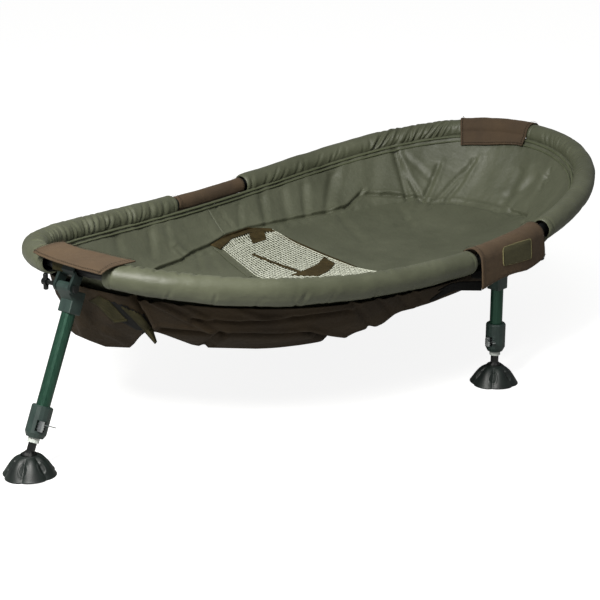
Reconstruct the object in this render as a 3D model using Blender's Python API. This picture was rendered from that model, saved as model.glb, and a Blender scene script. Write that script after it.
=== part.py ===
"""Folding fish cradle: an oval padded sling on a hinged hoop with four locking legs.

Metres, +Z up. +X runs along the mat towards the right end, +Y to its rear side,
and the origin is on the ground under the middle of the hoop.
"""
from math import acos, atan2, ceil, cos, degrees, exp, floor, hypot, pi, radians, sin

import bmesh
import bpy
from mathutils import Matrix, Vector
from mathutils.bvhtree import BVHTree

for old in list(bpy.data.objects):
    bpy.data.objects.remove(old)

MM = 0.001

# Running gaps
SEAT_GAP = 0.3 * MM
RUNNING_GAP = 0.4 * MM
OVERRUN = 2.0 * MM
WELD = 0.002 * MM

# Hoop: an oval tube whose ends rise
HOOP_HALF_LENGTH = 624.0 * MM
HOOP_HALF_WIDTH = 351.0 * MM
HOOP_WAIST_HEIGHT = 235.0 * MM
HOOP_END_RISE = 69.0 * MM
HOOP_EGG_SHARE = 0.058
HOOP_FULL_SHARE = 0.086
HOOP_TUBE_RADIUS = 9.5 * MM
HOOP_TUBE_WALL = 1.4 * MM

# Fold: a link with two pins in each long side of the hoop
LINK_LEFT_PIN_X = -30.0 * MM
LINK_RIGHT_PIN_X = 20.0 * MM
LINK_THICKNESS = 6.0 * MM
LINK_HEIGHT = 14.0 * MM
LINK_PIN_RADIUS = 2.6 * MM
LINK_PIN_HEAD_RADIUS = 4.0 * MM
LINK_PIN_HEAD = 1.0 * MM
FORK_REACH = 8.0 * MM
FORK_BODY = 20.0 * MM
FORK_SPIGOT = 9.0 * MM
FORK_COLLAR_RADIUS = 9.8 * MM
FORK_BORE_RADIUS = 2.5 * MM

# Padded sleeves round the hoop
SLEEVE_RADIUS = 20.0 * MM
SLEEVE_FIT = 0.7 * MM
SLEEVE_END_ROUND = 0.5 * MM
LEFT_SLEEVE_REAR_ANGLES = (98.0, 168.0)
LEFT_SLEEVE_FRONT_ANGLES = (192.0, 264.0)
RIGHT_SLEEVE_FRONT_ANGLES = (288.0, 354.0)
RIGHT_SLEEVE_REAR_ANGLES = (12.0, 78.0)

# Liner: padded walls and floor, one half on each side of the fold
FOLD_X = -5.0 * MM
HALF_GAP = 0.5 * MM
LINER_WALL = 8.0 * MM
LINER_INSET = 18.5 * MM
LINER_DROP = 8.0 * MM
FLOOR_MIDDLE_HEIGHT = 130.0 * MM
FLOOR_EDGE_HEIGHT = 158.0 * MM
FLOOR_LEFT_RISE = 44.0 * MM
FLOOR_RIGHT_RISE = 15.0 * MM
FLOOR_DISH_POWER = 2.4
FLOOR_LENGTH_SHARE = 0.82
FLOOR_WIDTH_SHARE = 0.7
FLOOR_RING_SHARES = (1.0, 0.75, 0.45)
WALL_SAG = 9.0 * MM
DRAIN_SEAT = 0.7 * MM
DRAIN_LEFT_X = -57.0 * MM
DRAIN_RIGHT_X = 100.0 * MM
DRAIN_HALF_LENGTH = 205.0 * MM
DRAIN_THICKNESS = 2.0 * MM
DRAIN_RIM = 7.0 * MM
DRAIN_BAR = 3.0 * MM
DRAIN_ROWS = 8
DRAIN_LEFT_COLUMNS = 1
DRAIN_RIGHT_COLUMNS = 2
SKY_HEIGHT = 500.0 * MM

# Outer belly of the sling
BELLY_SKIN = 4.0 * MM
BELLY_CHANGE_START = -200.0 * MM
BELLY_CHANGE_END = 100.0 * MM
BELLY_SEAM_SHARE = 0.15
BELLY_SEAM_GAP = 0.8 * MM
BELLY_LEFT_DROPS = (13.0 * MM, 18.0 * MM, 34.0 * MM, 34.0 * MM)
BELLY_RIGHT_DROPS = (8.0 * MM, 6.0 * MM, 7.0 * MM, 7.0 * MM)
BELLY_SKIN_SHARES = (0.9, 0.8, 0.6, 0.4)
BELLY_POCKET_PLACE = (-515.0 * MM, 100.0 * MM)
BELLY_POCKET_REACH = 95.0 * MM
BELLY_POCKET_DROP = 62.0 * MM

# Cloth covers over the gaps in the sleeves
COVER_CLOTH = 2.0 * MM
COVER_FIT_RADIUS = 13.0 * MM
COVER_A_ANGLES = (167.5, 194.4)
COVER_A_HALF = 31.0 * MM
COVER_A_LIFT = 20.7 * MM
COVER_C_ANGLES = (-3.5, 17.5)
COVER_C_SHARES = (0.15, 0.35, 0.6)
COVER_C_LIFT = 5.0 * MM
COVER_B_ANGLES = (79.5, 95.0)
COVER_D_ANGLES = (270.5, 289.0)
COVER_SLEEVE_GAP = 0.6 * MM
COVER_D_DROP = 44.0 * MM
COVER_B_TURN_HEIGHT = -4.4 * MM
COVER_B_ARC = (30.0, 230.0)
COVER_C_ARC = (15.0, 185.0)
COVER_D_ARC = (0.0, 195.0)
COVER_ARC_STEPS = 10

# Legs
BOLT_DROP = 26.0 * MM
LEG_TUBE_RADIUS = 11.0 * MM
LEG_TUBE_WALL = 1.5 * MM
STEM_RADIUS = 9.0 * MM
BALL_RADIUS = 12.0 * MM
BALL_HEIGHT = 28.4 * MM
END_LEG = dict(splay=24.8, bolt_out=17.4 * MM, offset=22.0 * MM, slide=100.0 * MM,
               ring=4.5 * MM, bore_fit=1.7 * MM, bar_half=13.0 * MM)
SIDE_LEG = dict(splay=0.0, bolt_out=10.0 * MM, offset=4.0 * MM, slide=50.0 * MM,
                ring=2.6 * MM, bore_fit=1.3 * MM, bar_half=9.0 * MM)
LEGS = {
    "left": dict(hoop_angle=180.8, lever_turn=61.0, knob_turn=180.0, **END_LEG),
    "rear": dict(hoop_angle=95.5, lever_turn=40.0, knob_turn=180.0, **SIDE_LEG),
    "right": dict(hoop_angle=4.5, lever_turn=61.0, knob_turn=180.0, **END_LEG),
    "front": dict(hoop_angle=275.0, lever_turn=-101.0, knob_turn=0.0, **SIDE_LEG),
}
BRACKET_WIDTH = 30.0 * MM
EAR_THICKNESS = 5.0 * MM
EAR_RADIUS = 9.0 * MM
BOLT_RADIUS = 3.5 * MM
HEAD_WIDTH = 26.0 * MM
HEAD_DEPTH = 25.0 * MM
HEAD_TOP = 2.0 * MM
HEAD_LENGTH = 38.0 * MM
HEAD_SOCKET = 24.0 * MM
HEAD_BEVEL = 1.6 * MM
LUG_RADIUS = 8.0 * MM
KNOB_STAND = 20.0 * MM
KNOB_HUB_RADIUS = 6.0 * MM
KNOB_HUB_LENGTH = 9.0 * MM
KNOB_BAR_RADIUS = 4.0 * MM
COLLAR_RADIUS = 17.0 * MM
COLLAR_LENGTH = 50.0 * MM
COLLAR_ABOVE_BALL = 31.0 * MM
COLLAR_CHAMFER = 7.0 * MM
COLLAR_TOP_ROUND = 2.0 * MM
COLLAR_SOCKET = 30.0 * MM
WINDOW_WIDTH = 15.0 * MM
WINDOW_HEIGHT = 17.0 * MM
WINDOW_DEPTH = 6.5 * MM
WINDOW_RISE = 11.0 * MM
CAM_RADIUS = 4.6 * MM
CAM_PLATE_RADIUS = 5.6 * MM
CAM_PLATE = 1.8 * MM
CAM_PLATES = 3
LEVER_LENGTH = 19.0 * MM
LEVER_WIDTH = 7.0 * MM
LEVER_LEAN = 6.0 * MM
CAM_STAND = 0.9 * MM
BUSH_RADIUS = 9.4 * MM
BUSH_HEIGHT = 7.6 * MM
NECK_RADIUS = 6.8 * MM
FOOT_RADIUS = 39.0 * MM
FOOT_LOBE = 4.5 * MM
FOOT_LOBES = 6
FOOT_CUP_RADIUS = 17.0 * MM
FOOT_CUP_HEIGHT = 30.0 * MM
FOOT_WAIST_RADIUS = 22.0 * MM
FOOT_WAIST_HEIGHT = 20.0 * MM
FOOT_HEM = 6.0 * MM
CUP_FIT = 0.9 * MM
FOOT_HOLLOW = 5.0 * MM
FOOT_HOLLOW_INSET = 6.0 * MM
FOOT_HOLLOW_SHARE = 0.55
FOOT_WAIST_LOBE_SHARE = 0.6
FOOT_CUP_ANGLES = (-20.0, -45.0, -70.0)

ROUND_SIDES = 16
TUBE_SIDES = 12
SMALL_SIDES = 10
BALL_STEPS = 7
GRID_STEP = 6.0
GRID_SNAP = 1.5
FOOT_STEPS_PER_LOBE = 4
SMOOTH_LIMIT = radians(32.0)


def colour(hex_text):
    """Linear colour of an sRGB hex value."""
    out = []
    for start in (0, 2, 4):
        value = int(hex_text[start:start + 2], 16) / 255.0
        out.append(value / 12.92 if value <= 0.04045 else ((value + 0.055) / 1.055) ** 2.4)
    return (*out, 1.0)


FINISHES = {
    "olive_nylon": ("5b5f4c", 0.62, 0.0),
    "liner_nylon": ("555947", 0.55, 0.0),
    "brown_cordura": ("46382c", 0.85, 0.0),
    "belly_nylon": ("352b20", 0.80, 0.0),
    "drain_mesh": ("b4b8a6", 0.70, 0.0),
    "green_tube": ("22493a", 0.35, 0.6),
    "frame_tube": ("23282a", 0.45, 0.6),
    "grey_nylon_moulding": ("333f3e", 0.50, 0.0),
    "black_moulding": ("16191a", 0.45, 0.0),
    "zinc_steel": ("aab0b2", 0.30, 1.0),
    "white_bush": ("dfe3df", 0.45, 0.0),
    "foot_rubber": ("2a3331", 0.60, 0.0),
}


def finish(obj, name):
    """Give an object its own material."""
    hex_text, roughness, metallic = FINISHES[name]
    material = bpy.data.materials.new(obj.name + "_" + name)
    material.use_nodes = True
    shader = material.node_tree.nodes["Principled BSDF"]
    shader.inputs["Base Color"].default_value = colour(hex_text)
    shader.inputs["Roughness"].default_value = roughness
    shader.inputs["Metallic"].default_value = metallic
    obj.data.materials.append(material)
    return obj


def add_object(name, mesh, finish_name=None, parent=None):
    """Link a mesh as an object, shaded smooth up to the sharp angle."""
    mesh.shade_smooth()
    mesh.set_sharp_from_angle(angle=SMOOTH_LIMIT)
    obj = bpy.data.objects.new(name, mesh)
    bpy.context.scene.collection.objects.link(obj)
    if parent is not None:
        obj.parent = parent
    if finish_name:
        finish(obj, finish_name)
    return obj


def mesh_from(name, points, faces):
    """A mesh from points and faces, with its normals made to point out."""
    mesh = bpy.data.meshes.new(name)
    mesh.from_pydata([tuple(p) for p in points], [], faces)
    builder = bmesh.new()
    builder.from_mesh(mesh)
    bmesh.ops.recalc_face_normals(builder, faces=builder.faces)
    builder.to_mesh(mesh)
    builder.free()
    return mesh


def turned(name, profile, sides=ROUND_SIDES):
    """A closed body turned about Z from a closed loop of (radius, height), or from pole to pole."""
    points, rings = [], []
    for radius, height in profile:
        if radius == 0:
            rings.append([len(points)])
            points.append((0, 0, height))
            continue
        ring = []
        for k in range(sides):
            angle = 2 * pi * k / sides
            ring.append(len(points))
            points.append((radius * cos(angle), radius * sin(angle), height))
        rings.append(ring)
    closed = profile[0][0] != 0
    pairs = list(zip(rings, rings[1:] + (rings[:1] if closed else [])))
    if not closed:
        pairs = list(zip(rings, rings[1:]))
    faces = []
    for low, high in pairs:
        for k in range(sides):
            n = (k + 1) % sides
            if len(low) == 1:
                faces.append((low[0], high[k], high[n]))
            elif len(high) == 1:
                faces.append((low[k], low[n], high[0]))
            else:
                faces.append((low[k], low[n], high[n], high[k]))
    return mesh_from(name, points, faces)


def box_mesh(name, low, high, bevel=0):
    """A box between two corners, with its edges bevelled when asked."""
    mesh = bpy.data.meshes.new(name)
    builder = bmesh.new()
    bmesh.ops.create_cube(builder, size=1)
    size = Vector(high) - Vector(low)
    middle = (Vector(high) + Vector(low)) / 2
    bmesh.ops.scale(builder, vec=size, verts=builder.verts)
    bmesh.ops.translate(builder, vec=middle, verts=builder.verts)
    if bevel:
        bmesh.ops.bevel(builder, geom=builder.edges, offset=bevel, segments=2, profile=0.5, affect="EDGES")
    builder.to_mesh(mesh)
    builder.free()
    return mesh


def rod_mesh(name, radius, low, high, axis="Z", sides=SMALL_SIDES, chamfer=0):
    """A round rod between two places on an axis."""
    if chamfer:
        profile = [(0, low), (radius - chamfer, low), (radius, low + chamfer),
                   (radius, high - chamfer), (radius - chamfer, high), (0, high)]
    else:
        profile = [(0, low), (radius, low), (radius, high), (0, high)]
    mesh = turned(name, profile, sides)
    turn = {"Z": Matrix(), "Y": Matrix.Rotation(-pi / 2, 4, "X"), "X": Matrix.Rotation(pi / 2, 4, "Y")}[axis]
    mesh.transform(turn)
    return mesh


def place(mesh, x=0, y=0, z=0):
    """Move a mesh's points."""
    mesh.transform(Matrix.Translation((x, y, z)))
    return mesh


def outline_prism(name, outline, low, high, axis="Z"):
    """A closed outline of (u, v) pulled from low to high along an axis."""
    count = len(outline)
    points = [(u, v, low) for u, v in outline] + [(u, v, high) for u, v in outline]
    faces = [tuple(range(count))[::-1], tuple(range(count, 2 * count))]
    faces += [(k, (k + 1) % count, count + (k + 1) % count, count + k) for k in range(count)]
    mesh = mesh_from(name, points, faces)
    if axis == "Y":
        mesh.transform(Matrix.Rotation(pi / 2, 4, "X"))
    return mesh


def stadium(start, end, radius, steps=5):
    """Outline of a slot shape round two centres."""
    (x0, y0), (x1, y1) = start, end
    heading = atan2(y1 - y0, x1 - x0)
    outline = []
    for (cx, cy), base in (((x1, y1), heading - pi / 2), ((x0, y0), heading + pi / 2)):
        for k in range(steps + 1):
            angle = base + pi * k / steps
            outline.append((cx + radius * cos(angle), cy + radius * sin(angle)))
    return outline


def welded(mesh):
    """Join the doubled points that a cut leaves."""
    builder = bmesh.new()
    builder.from_mesh(mesh)
    bmesh.ops.remove_doubles(builder, verts=builder.verts, dist=WELD)
    bmesh.ops.dissolve_degenerate(builder, edges=builder.edges, dist=WELD)
    builder.to_mesh(mesh)
    builder.free()
    return mesh


def combine(target, tools, operation):
    """Boolean the tool meshes into an object and leave the result as its mesh."""
    for tool in tools:
        helper = bpy.data.objects.new("cutter", tool)
        bpy.context.scene.collection.objects.link(helper)
        helper.parent = target.parent
        helper.hide_render = True
        helper.display_type = "WIRE"
        change = target.modifiers.new("shape", "BOOLEAN")
        change.operation = operation
        change.solver = "EXACT"
        change.object = helper
        bpy.context.view_layer.update()
        graph = bpy.context.evaluated_depsgraph_get()
        result = bpy.data.meshes.new_from_object(target.evaluated_get(graph))
        target.modifiers.remove(change)
        target.data = welded(result)
        bpy.data.objects.remove(helper)
    return target


def shade(obj):
    """Smooth shading again after a cut."""
    obj.data.shade_smooth()
    obj.data.set_sharp_from_angle(angle=SMOOTH_LIMIT)
    return obj


def hoop_point(angle):
    """Centre of the hoop tube at an angle, in degrees, round the oval."""
    a = radians(angle)
    x = HOOP_HALF_LENGTH * cos(a)
    y = HOOP_HALF_WIDTH * sin(a) * (1 + HOOP_EGG_SHARE * cos(a) + HOOP_FULL_SHARE * cos(2 * a))
    z = HOOP_WAIST_HEIGHT + HOOP_END_RISE * cos(a) ** 2
    return Vector((x, y, z))


def hoop_frame(angle, step=0.5):
    """Tangent, outward and upward directions of the hoop."""
    tangent = (hoop_point(angle + step) - hoop_point(angle - step)).normalized()
    outward = tangent.cross(Vector((0, 0, 1))).normalized()
    return tangent, outward, outward.cross(tangent).normalized()


def hoop_angle_at(x, side):
    """Angle of the hoop where it crosses x, on the rear (+1) or front (-1) side."""
    angle = degrees(acos(x / HOOP_HALF_LENGTH))
    return angle if side > 0 else 360.0 - angle


def spaced(first, last, count):
    """Evenly spaced values with both ends."""
    return [first + (last - first) * k / (count - 1) for k in range(count)]


def on_grid(first, last):
    """Angles from first to last through the grid that all the pieces round the hoop share."""
    low, high = ceil(first / GRID_STEP), floor(last / GRID_STEP)
    between = [k * GRID_STEP for k in range(low, high + 1)]
    return [first] + [a for a in between if GRID_SNAP < a - first and GRID_SNAP < last - a] + [last]


def swept(angles, rings):
    """Points, loops and side faces of a body swept along the hoop; rings gives the loop of (out, up)."""
    points, loops = [], []
    for station, angle in enumerate(angles):
        centre = hoop_point(angle)
        _, outward, upward = hoop_frame(angle)
        loop = []
        for out, up in rings(station):
            loop.append(len(points))
            points.append(centre + outward * out + upward * up)
        loops.append(loop)
    faces = []
    count = len(loops[0])
    for low, high in zip(loops, loops[1:]):
        for k in range(count):
            n = (k + 1) % count
            faces.append((low[k], low[n], high[n], high[k]))
    return points, loops, faces


def circle(radius, sides=TUBE_SIDES):
    """Points of a circle as (out, up)."""
    return [(radius * cos(2 * pi * k / sides), radius * sin(2 * pi * k / sides)) for k in range(sides)]


def swept_tube(name, angles, outer, inner):
    """A tube along the hoop; outer gives its radius at each station, inner is its bore."""
    points, loops, faces = swept(angles, lambda s: circle(outer(s)))
    inner_points, inner_loops, inner_faces = swept(angles, lambda s: circle(inner))
    base = len(points)
    points += inner_points
    faces += [tuple(base + k for k in face[::-1]) for face in inner_faces]
    for which in (0, -1):
        ring, hole = loops[which], [base + k for k in inner_loops[which]]
        for k in range(len(ring)):
            n = (k + 1) % len(ring)
            faces.append((ring[k], ring[n], hole[n], hole[k]))
    return mesh_from(name, points, faces)


def fold_pin_place(side, across):
    """Middle of one fold pin."""
    pin_x = LINK_LEFT_PIN_X if side == "left" else LINK_RIGHT_PIN_X
    y = hoop_point(hoop_angle_at(pin_x, across)).y
    return Vector((pin_x, y, HOOP_WAIST_HEIGHT))


def fork_shapes(side, across):
    """A turned plug for the hoop's end, the slot for the link and the hole for its pin."""
    pin = fold_pin_place(side, across)
    inward = 1 if side == "left" else -1
    tip = pin.x + inward * FORK_REACH
    end = tip - inward * (FORK_BODY + FORK_SPIGOT)
    shoulder = tip - inward * (FORK_BODY + OVERRUN)
    spigot = HOOP_TUBE_RADIUS - HOOP_TUBE_WALL / 2
    profile = [(FORK_BORE_RADIUS, end), (spigot, end), (spigot, shoulder), (FORK_COLLAR_RADIUS, shoulder),
               (FORK_COLLAR_RADIUS, tip), (FORK_BORE_RADIUS, tip)]
    plug = turned("fork", profile, TUBE_SIDES)
    plug.transform(Matrix.Rotation(pi / 2, 4, "Y"))
    place(plug, 0, pin.y, pin.z)
    half = LINK_THICKNESS / 2 + RUNNING_GAP
    root = pin.x - inward * (LINK_HEIGHT / 2 + RUNNING_GAP)
    low_x, high_x = sorted((root, tip + inward * OVERRUN))
    reach = FORK_COLLAR_RADIUS + OVERRUN
    link_y = hoop_point(hoop_angle_at(FOLD_X, across)).y
    slot = box_mesh("slot", (low_x, link_y - half, pin.z - reach), (high_x, link_y + half, pin.z + reach))
    hole = place(rod_mesh("hole", LINK_PIN_RADIUS + SEAT_GAP, -reach, reach, "Y"), *pin)
    return plug, slot, hole


def make_hoops():
    """The two half hoops: bent tubes whose ends are slotted and drilled for the fold."""
    for side in ("left", "right"):
        inward = 1 if side == "left" else -1
        pin_x = LINK_LEFT_PIN_X if side == "left" else LINK_RIGHT_PIN_X
        end_x = pin_x + inward * (FORK_REACH - FORK_BODY)
        rear, front = hoop_angle_at(end_x, 1), hoop_angle_at(end_x, -1)
        first, last = (rear, front) if side == "left" else (front - 360.0, rear)
        bore = HOOP_TUBE_RADIUS - HOOP_TUBE_WALL
        mesh = swept_tube("hoop_" + side, on_grid(first, last), lambda s: HOOP_TUBE_RADIUS, bore)
        hoop = add_object("hoop_tube_" + side, mesh)
        for across in (1, -1):
            plug, slot, hole = fork_shapes(side, across)
            combine(hoop, (plug,), "UNION")
            combine(hoop, (slot, hole), "DIFFERENCE")
        finish(shade(hoop), "frame_tube")


def make_fold():
    """Links and pins of the two fold joints."""
    half = FORK_COLLAR_RADIUS + SEAT_GAP
    head = half + LINK_PIN_HEAD
    profile = [(0, -head), (LINK_PIN_HEAD_RADIUS, -head), (LINK_PIN_HEAD_RADIUS, -half),
               (LINK_PIN_RADIUS, -half), (LINK_PIN_RADIUS, half), (LINK_PIN_HEAD_RADIUS, half),
               (LINK_PIN_HEAD_RADIUS, head), (0, head)]
    for name, across in (("rear", 1), ("front", -1)):
        for side in ("left", "right"):
            pin = turned("pin", profile, SMALL_SIDES)
            pin.transform(Matrix.Rotation(-pi / 2, 4, "X"))
            obj = add_object("fold_pin_" + name + "_" + side, pin, "zinc_steel")
            obj.location = fold_pin_place(side, across)
        y = hoop_point(hoop_angle_at(FOLD_X, across)).y
        outline = stadium((LINK_LEFT_PIN_X, 0), (LINK_RIGHT_PIN_X, 0), LINK_HEIGHT / 2)
        thick = LINK_THICKNESS / 2
        mesh = place(outline_prism("link", outline, -thick, thick, "Y"), 0, y, HOOP_WAIST_HEIGHT)
        link = add_object("fold_link_" + name, mesh)
        holes = [place(rod_mesh("hole", LINK_PIN_RADIUS + SEAT_GAP, -LINK_HEIGHT, LINK_HEIGHT, "Y"),
                       x, y, HOOP_WAIST_HEIGHT) for x in (LINK_LEFT_PIN_X, LINK_RIGHT_PIN_X)]
        finish(shade(combine(link, holes, "DIFFERENCE")), "zinc_steel")


def make_sleeves():
    """Padded sleeves, round, drawn in at both ends."""
    spans = {
        "sleeve_left_rear": LEFT_SLEEVE_REAR_ANGLES,
        "sleeve_left_front": LEFT_SLEEVE_FRONT_ANGLES,
        "sleeve_right_front": RIGHT_SLEEVE_FRONT_ANGLES,
        "sleeve_right_rear": RIGHT_SLEEVE_REAR_ANGLES,
    }
    for name, (first, last) in spans.items():
        angles = on_grid(first, last)
        final = len(angles) - 1

        def outer(station, final=final):
            return SLEEVE_RADIUS - (SLEEVE_END_ROUND if station in (0, final) else 0)

        mesh = swept_tube(name, angles, outer, HOOP_TUBE_RADIUS + SLEEVE_FIT)
        add_object(name, mesh, "olive_nylon")


def half_ring(side, long_share, wide_share, share, height_of, push=0, clear=HALF_GAP):
    """One ring of a half shell: the hoop's plan cut at the fold and shrunk about its middle."""
    sign = -1 if side == "left" else 1
    limit = FOLD_X + sign * clear
    crossing = FOLD_X + (limit - FOLD_X) / long_share
    if side == "left":
        first, last = hoop_angle_at(crossing, 1), hoop_angle_at(crossing, -1)
    else:
        first, last = hoop_angle_at(crossing, -1) - 360.0, hoop_angle_at(crossing, 1)
    ring = []
    for angle in on_grid(first, last):
        spot = hoop_point(angle)
        _, outward, _ = hoop_frame(angle)
        x = FOLD_X + (spot.x - FOLD_X) * long_share + outward.x * push
        y = spot.y * wide_share + outward.y * push
        out = Vector((limit + (x - limit) * share, y * share, 0))
        if angle in (first, last):
            out.x = limit
        out.z = height_of(angle, out)
        ring.append(out)
    return ring


def half_shell(name, top, bottom, finish_name):
    """A closed half bowl; top and bottom are its rings from the edge in to the middle of the fold line."""
    points = [spot for ring in top + bottom for spot in ring]
    size = len(top[0])
    loops = [[k * size + n for n in range(size)] for k in range(len(top) + len(bottom))]
    upper, lower = loops[:len(top)], loops[len(top):]
    poles = []
    for inner in (upper[-1], lower[-1]):
        poles.append(len(points))
        points.append((points[inner[0]] + points[inner[-1]]) / 2)
    faces = []
    for rings, pole in ((upper, poles[0]), (lower, poles[1])):
        for out, inn in zip(rings, rings[1:]):
            faces += [(out[k], out[k + 1], inn[k + 1], inn[k]) for k in range(size - 1)]
        faces += [(rings[-1][k], rings[-1][k + 1], pole) for k in range(size - 1)]
    faces += [(lower[0][k], lower[0][k + 1], upper[0][k + 1], upper[0][k]) for k in range(size - 1)]
    over = [ring[0] for ring in upper] + [poles[0]] + [ring[-1] for ring in upper][::-1]
    under = [ring[-1] for ring in lower] + [poles[1]] + [ring[0] for ring in lower][::-1]
    faces.append(tuple(over + under))
    return add_object(name, mesh_from(name, points, faces), finish_name)


def hoop_height(angle, drop=0):
    """Height of the hoop centre less a drop."""
    return hoop_point(angle).z - drop


def floor_edge(angle):
    """Height of the seam round the liner's floor, which lifts towards both ends."""
    rise = FLOOR_RIGHT_RISE if cos(radians(angle)) > 0 else FLOOR_LEFT_RISE
    return FLOOR_EDGE_HEIGHT + rise * cos(radians(angle)) ** 2


def liner_rings(side):
    """Rings of the liner's upper and lower faces, from its edge to the middle of its dished floor."""
    middle_long = (1 + FLOOR_LENGTH_SHARE) / 2
    middle_wide = (1 + FLOOR_WIDTH_SHARE) / 2

    def edge(drop):
        return lambda angle, spot: hoop_height(angle, LINER_DROP + drop)

    def wall(drop):
        return lambda angle, spot: (hoop_height(angle, LINER_DROP) + floor_edge(angle)) / 2 - WALL_SAG - drop

    def dish(share, drop):
        rise = share ** FLOOR_DISH_POWER
        return lambda angle, spot: FLOOR_MIDDLE_HEIGHT + (floor_edge(angle) - FLOOR_MIDDLE_HEIGHT) * rise - drop

    top = [
        half_ring(side, 1, 1, 1, edge(0), -LINER_INSET),
        half_ring(side, middle_long, middle_wide, 1, wall(0), -LINER_INSET / 2),
    ]
    bottom = [
        half_ring(side, 1, 1, 1, edge(LINER_WALL), LINER_WALL / 3 - LINER_INSET),
        half_ring(side, middle_long, middle_wide, 1, wall(LINER_WALL), LINER_WALL - LINER_INSET / 2),
    ]
    for share in FLOOR_RING_SHARES:
        top.append(half_ring(side, FLOOR_LENGTH_SHARE, FLOOR_WIDTH_SHARE, share, dish(share, 0)))
        bottom.append(half_ring(side, FLOOR_LENGTH_SHARE, FLOOR_WIDTH_SHARE, share, dish(share, LINER_WALL)))
    return top, bottom


def make_liner():
    """Walls and dished floor of the sling's inside, in two halves."""
    halves = {}
    for side in ("left", "right"):
        top, bottom = liner_rings(side)
        halves[side] = half_shell("liner_" + side, top, bottom, "liner_nylon")
    return halves


def strip_places(start, clear, bars):
    """Places of the edges across a bound net: rim, openings with bars between, rim."""
    places = [start, start + DRAIN_RIM]
    for k in range(bars):
        places.append(places[-1] + clear)
        places.append(places[-1] + (DRAIN_BAR if k < bars - 1 else DRAIN_RIM))
    return places


def floor_finder(liner):
    """A function that gives the height of a liner's upper face at a place in plan."""
    liner.data.calc_loop_triangles()
    spots = [v.co.copy() for v in liner.data.vertices]
    tree = BVHTree.FromPolygons(spots, [tuple(t.vertices) for t in liner.data.loop_triangles], all_triangles=True)

    def height_at(x, y):
        return tree.ray_cast(Vector((x, y, SKY_HEIGHT)), Vector((0, 0, -1)))[0].z

    return height_at


def make_drain(liners):
    """Drain strip across the fold: a net in a bound edge, in two halves seated on the liner's floor."""
    clear_y = (2 * DRAIN_HALF_LENGTH - 2 * DRAIN_RIM - (DRAIN_ROWS - 1) * DRAIN_BAR) / DRAIN_ROWS
    ys = strip_places(-DRAIN_HALF_LENGTH, clear_y, DRAIN_ROWS)
    spans = {
        "left": (DRAIN_LEFT_X, FOLD_X - HALF_GAP, DRAIN_LEFT_COLUMNS),
        "right": (FOLD_X + HALF_GAP, DRAIN_RIGHT_X, DRAIN_RIGHT_COLUMNS),
    }
    for side, (start, end, columns) in spans.items():
        clear_x = (end - start - 2 * DRAIN_RIM - (columns - 1) * DRAIN_BAR) / columns
        xs = strip_places(start, clear_x, columns)
        height_at = floor_finder(liners[side])
        builder = bmesh.new()
        grid = {}

        def corner(i, j, lift):
            if (i, j, lift) not in grid:
                height = height_at(xs[i], ys[j]) + DRAIN_SEAT + lift * DRAIN_THICKNESS
                grid[(i, j, lift)] = builder.verts.new((xs[i], ys[j], height))
            return grid[(i, j, lift)]

        def filled(i, j):
            inside = 0 <= i < len(xs) - 1 and 0 <= j < len(ys) - 1
            return inside and not (i % 2 == 1 and j % 2 == 1)

        for i in range(len(xs) - 1):
            for j in range(len(ys) - 1):
                if not filled(i, j):
                    continue
                for lift in (0, 1):
                    quad = [corner(i, j, lift), corner(i + 1, j, lift), corner(i + 1, j + 1, lift),
                            corner(i, j + 1, lift)]
                    builder.faces.new(quad if lift else quad[::-1])
                for (di, dj), (p, q) in (((-1, 0), ((0, 0), (0, 1))), ((1, 0), ((1, 1), (1, 0))),
                                         ((0, -1), ((1, 0), (0, 0))), ((0, 1), ((0, 1), (1, 1)))):
                    if filled(i + di, j + dj):
                        continue
                    a, b = (i + p[0], j + p[1]), (i + q[0], j + q[1])
                    builder.faces.new((corner(*a, 0), corner(*a, 1), corner(*b, 1), corner(*b, 0)))
        bmesh.ops.recalc_face_normals(builder, faces=builder.faces)
        mesh = bpy.data.meshes.new("drain")
        builder.to_mesh(mesh)
        builder.free()
        add_object("drain_mesh_" + side, mesh, "drain_mesh")


def belly_drop(level, spot):
    """How far the outer skin hangs under the liner: more on the left, and most in the pocket at its end."""
    way = min(max((spot.x - BELLY_CHANGE_START) / (BELLY_CHANGE_END - BELLY_CHANGE_START), 0), 1)
    change = way * way * (3 - 2 * way)
    drop = BELLY_LEFT_DROPS[level] + (BELLY_RIGHT_DROPS[level] - BELLY_LEFT_DROPS[level]) * change
    far = hypot(spot.x - BELLY_POCKET_PLACE[0], spot.y - BELLY_POCKET_PLACE[1]) / BELLY_POCKET_REACH
    return drop + BELLY_POCKET_DROP * exp(-far ** 2)


def make_belly():
    """Outer skin of the sling, sewn to the liner's underside a little in from its edge."""
    for side in ("left", "right"):
        limit = FOLD_X + (-HALF_GAP if side == "left" else HALF_GAP)
        _, under = liner_rings(side)
        edge = [rim.lerp(wall, BELLY_SEAM_SHARE) - Vector((0, 0, BELLY_SEAM_GAP)) for rim, wall in zip(*under[:2])]
        top = [edge]
        bottom = [[skin_point(spot, 1, limit) for spot in edge]]
        for level, ring in enumerate(under[1:]):
            inner = [Vector((spot.x, spot.y, spot.z - belly_drop(level, spot))) for spot in ring]
            top.append(inner)
            bottom.append([skin_point(spot, BELLY_SKIN_SHARES[level], limit) for spot in inner])
        half_shell("belly_" + side, top, bottom, "belly_nylon")


def skin_point(spot, share, limit):
    """Point on the skin's outer face under one on its inner face."""
    away = Vector((spot.x - limit, spot.y, 0)).normalized() * BELLY_SKIN * share
    skin = spot + away - Vector((0, 0, BELLY_SKIN))
    skin.x = limit if spot.x == limit else skin.x
    return skin


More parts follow.
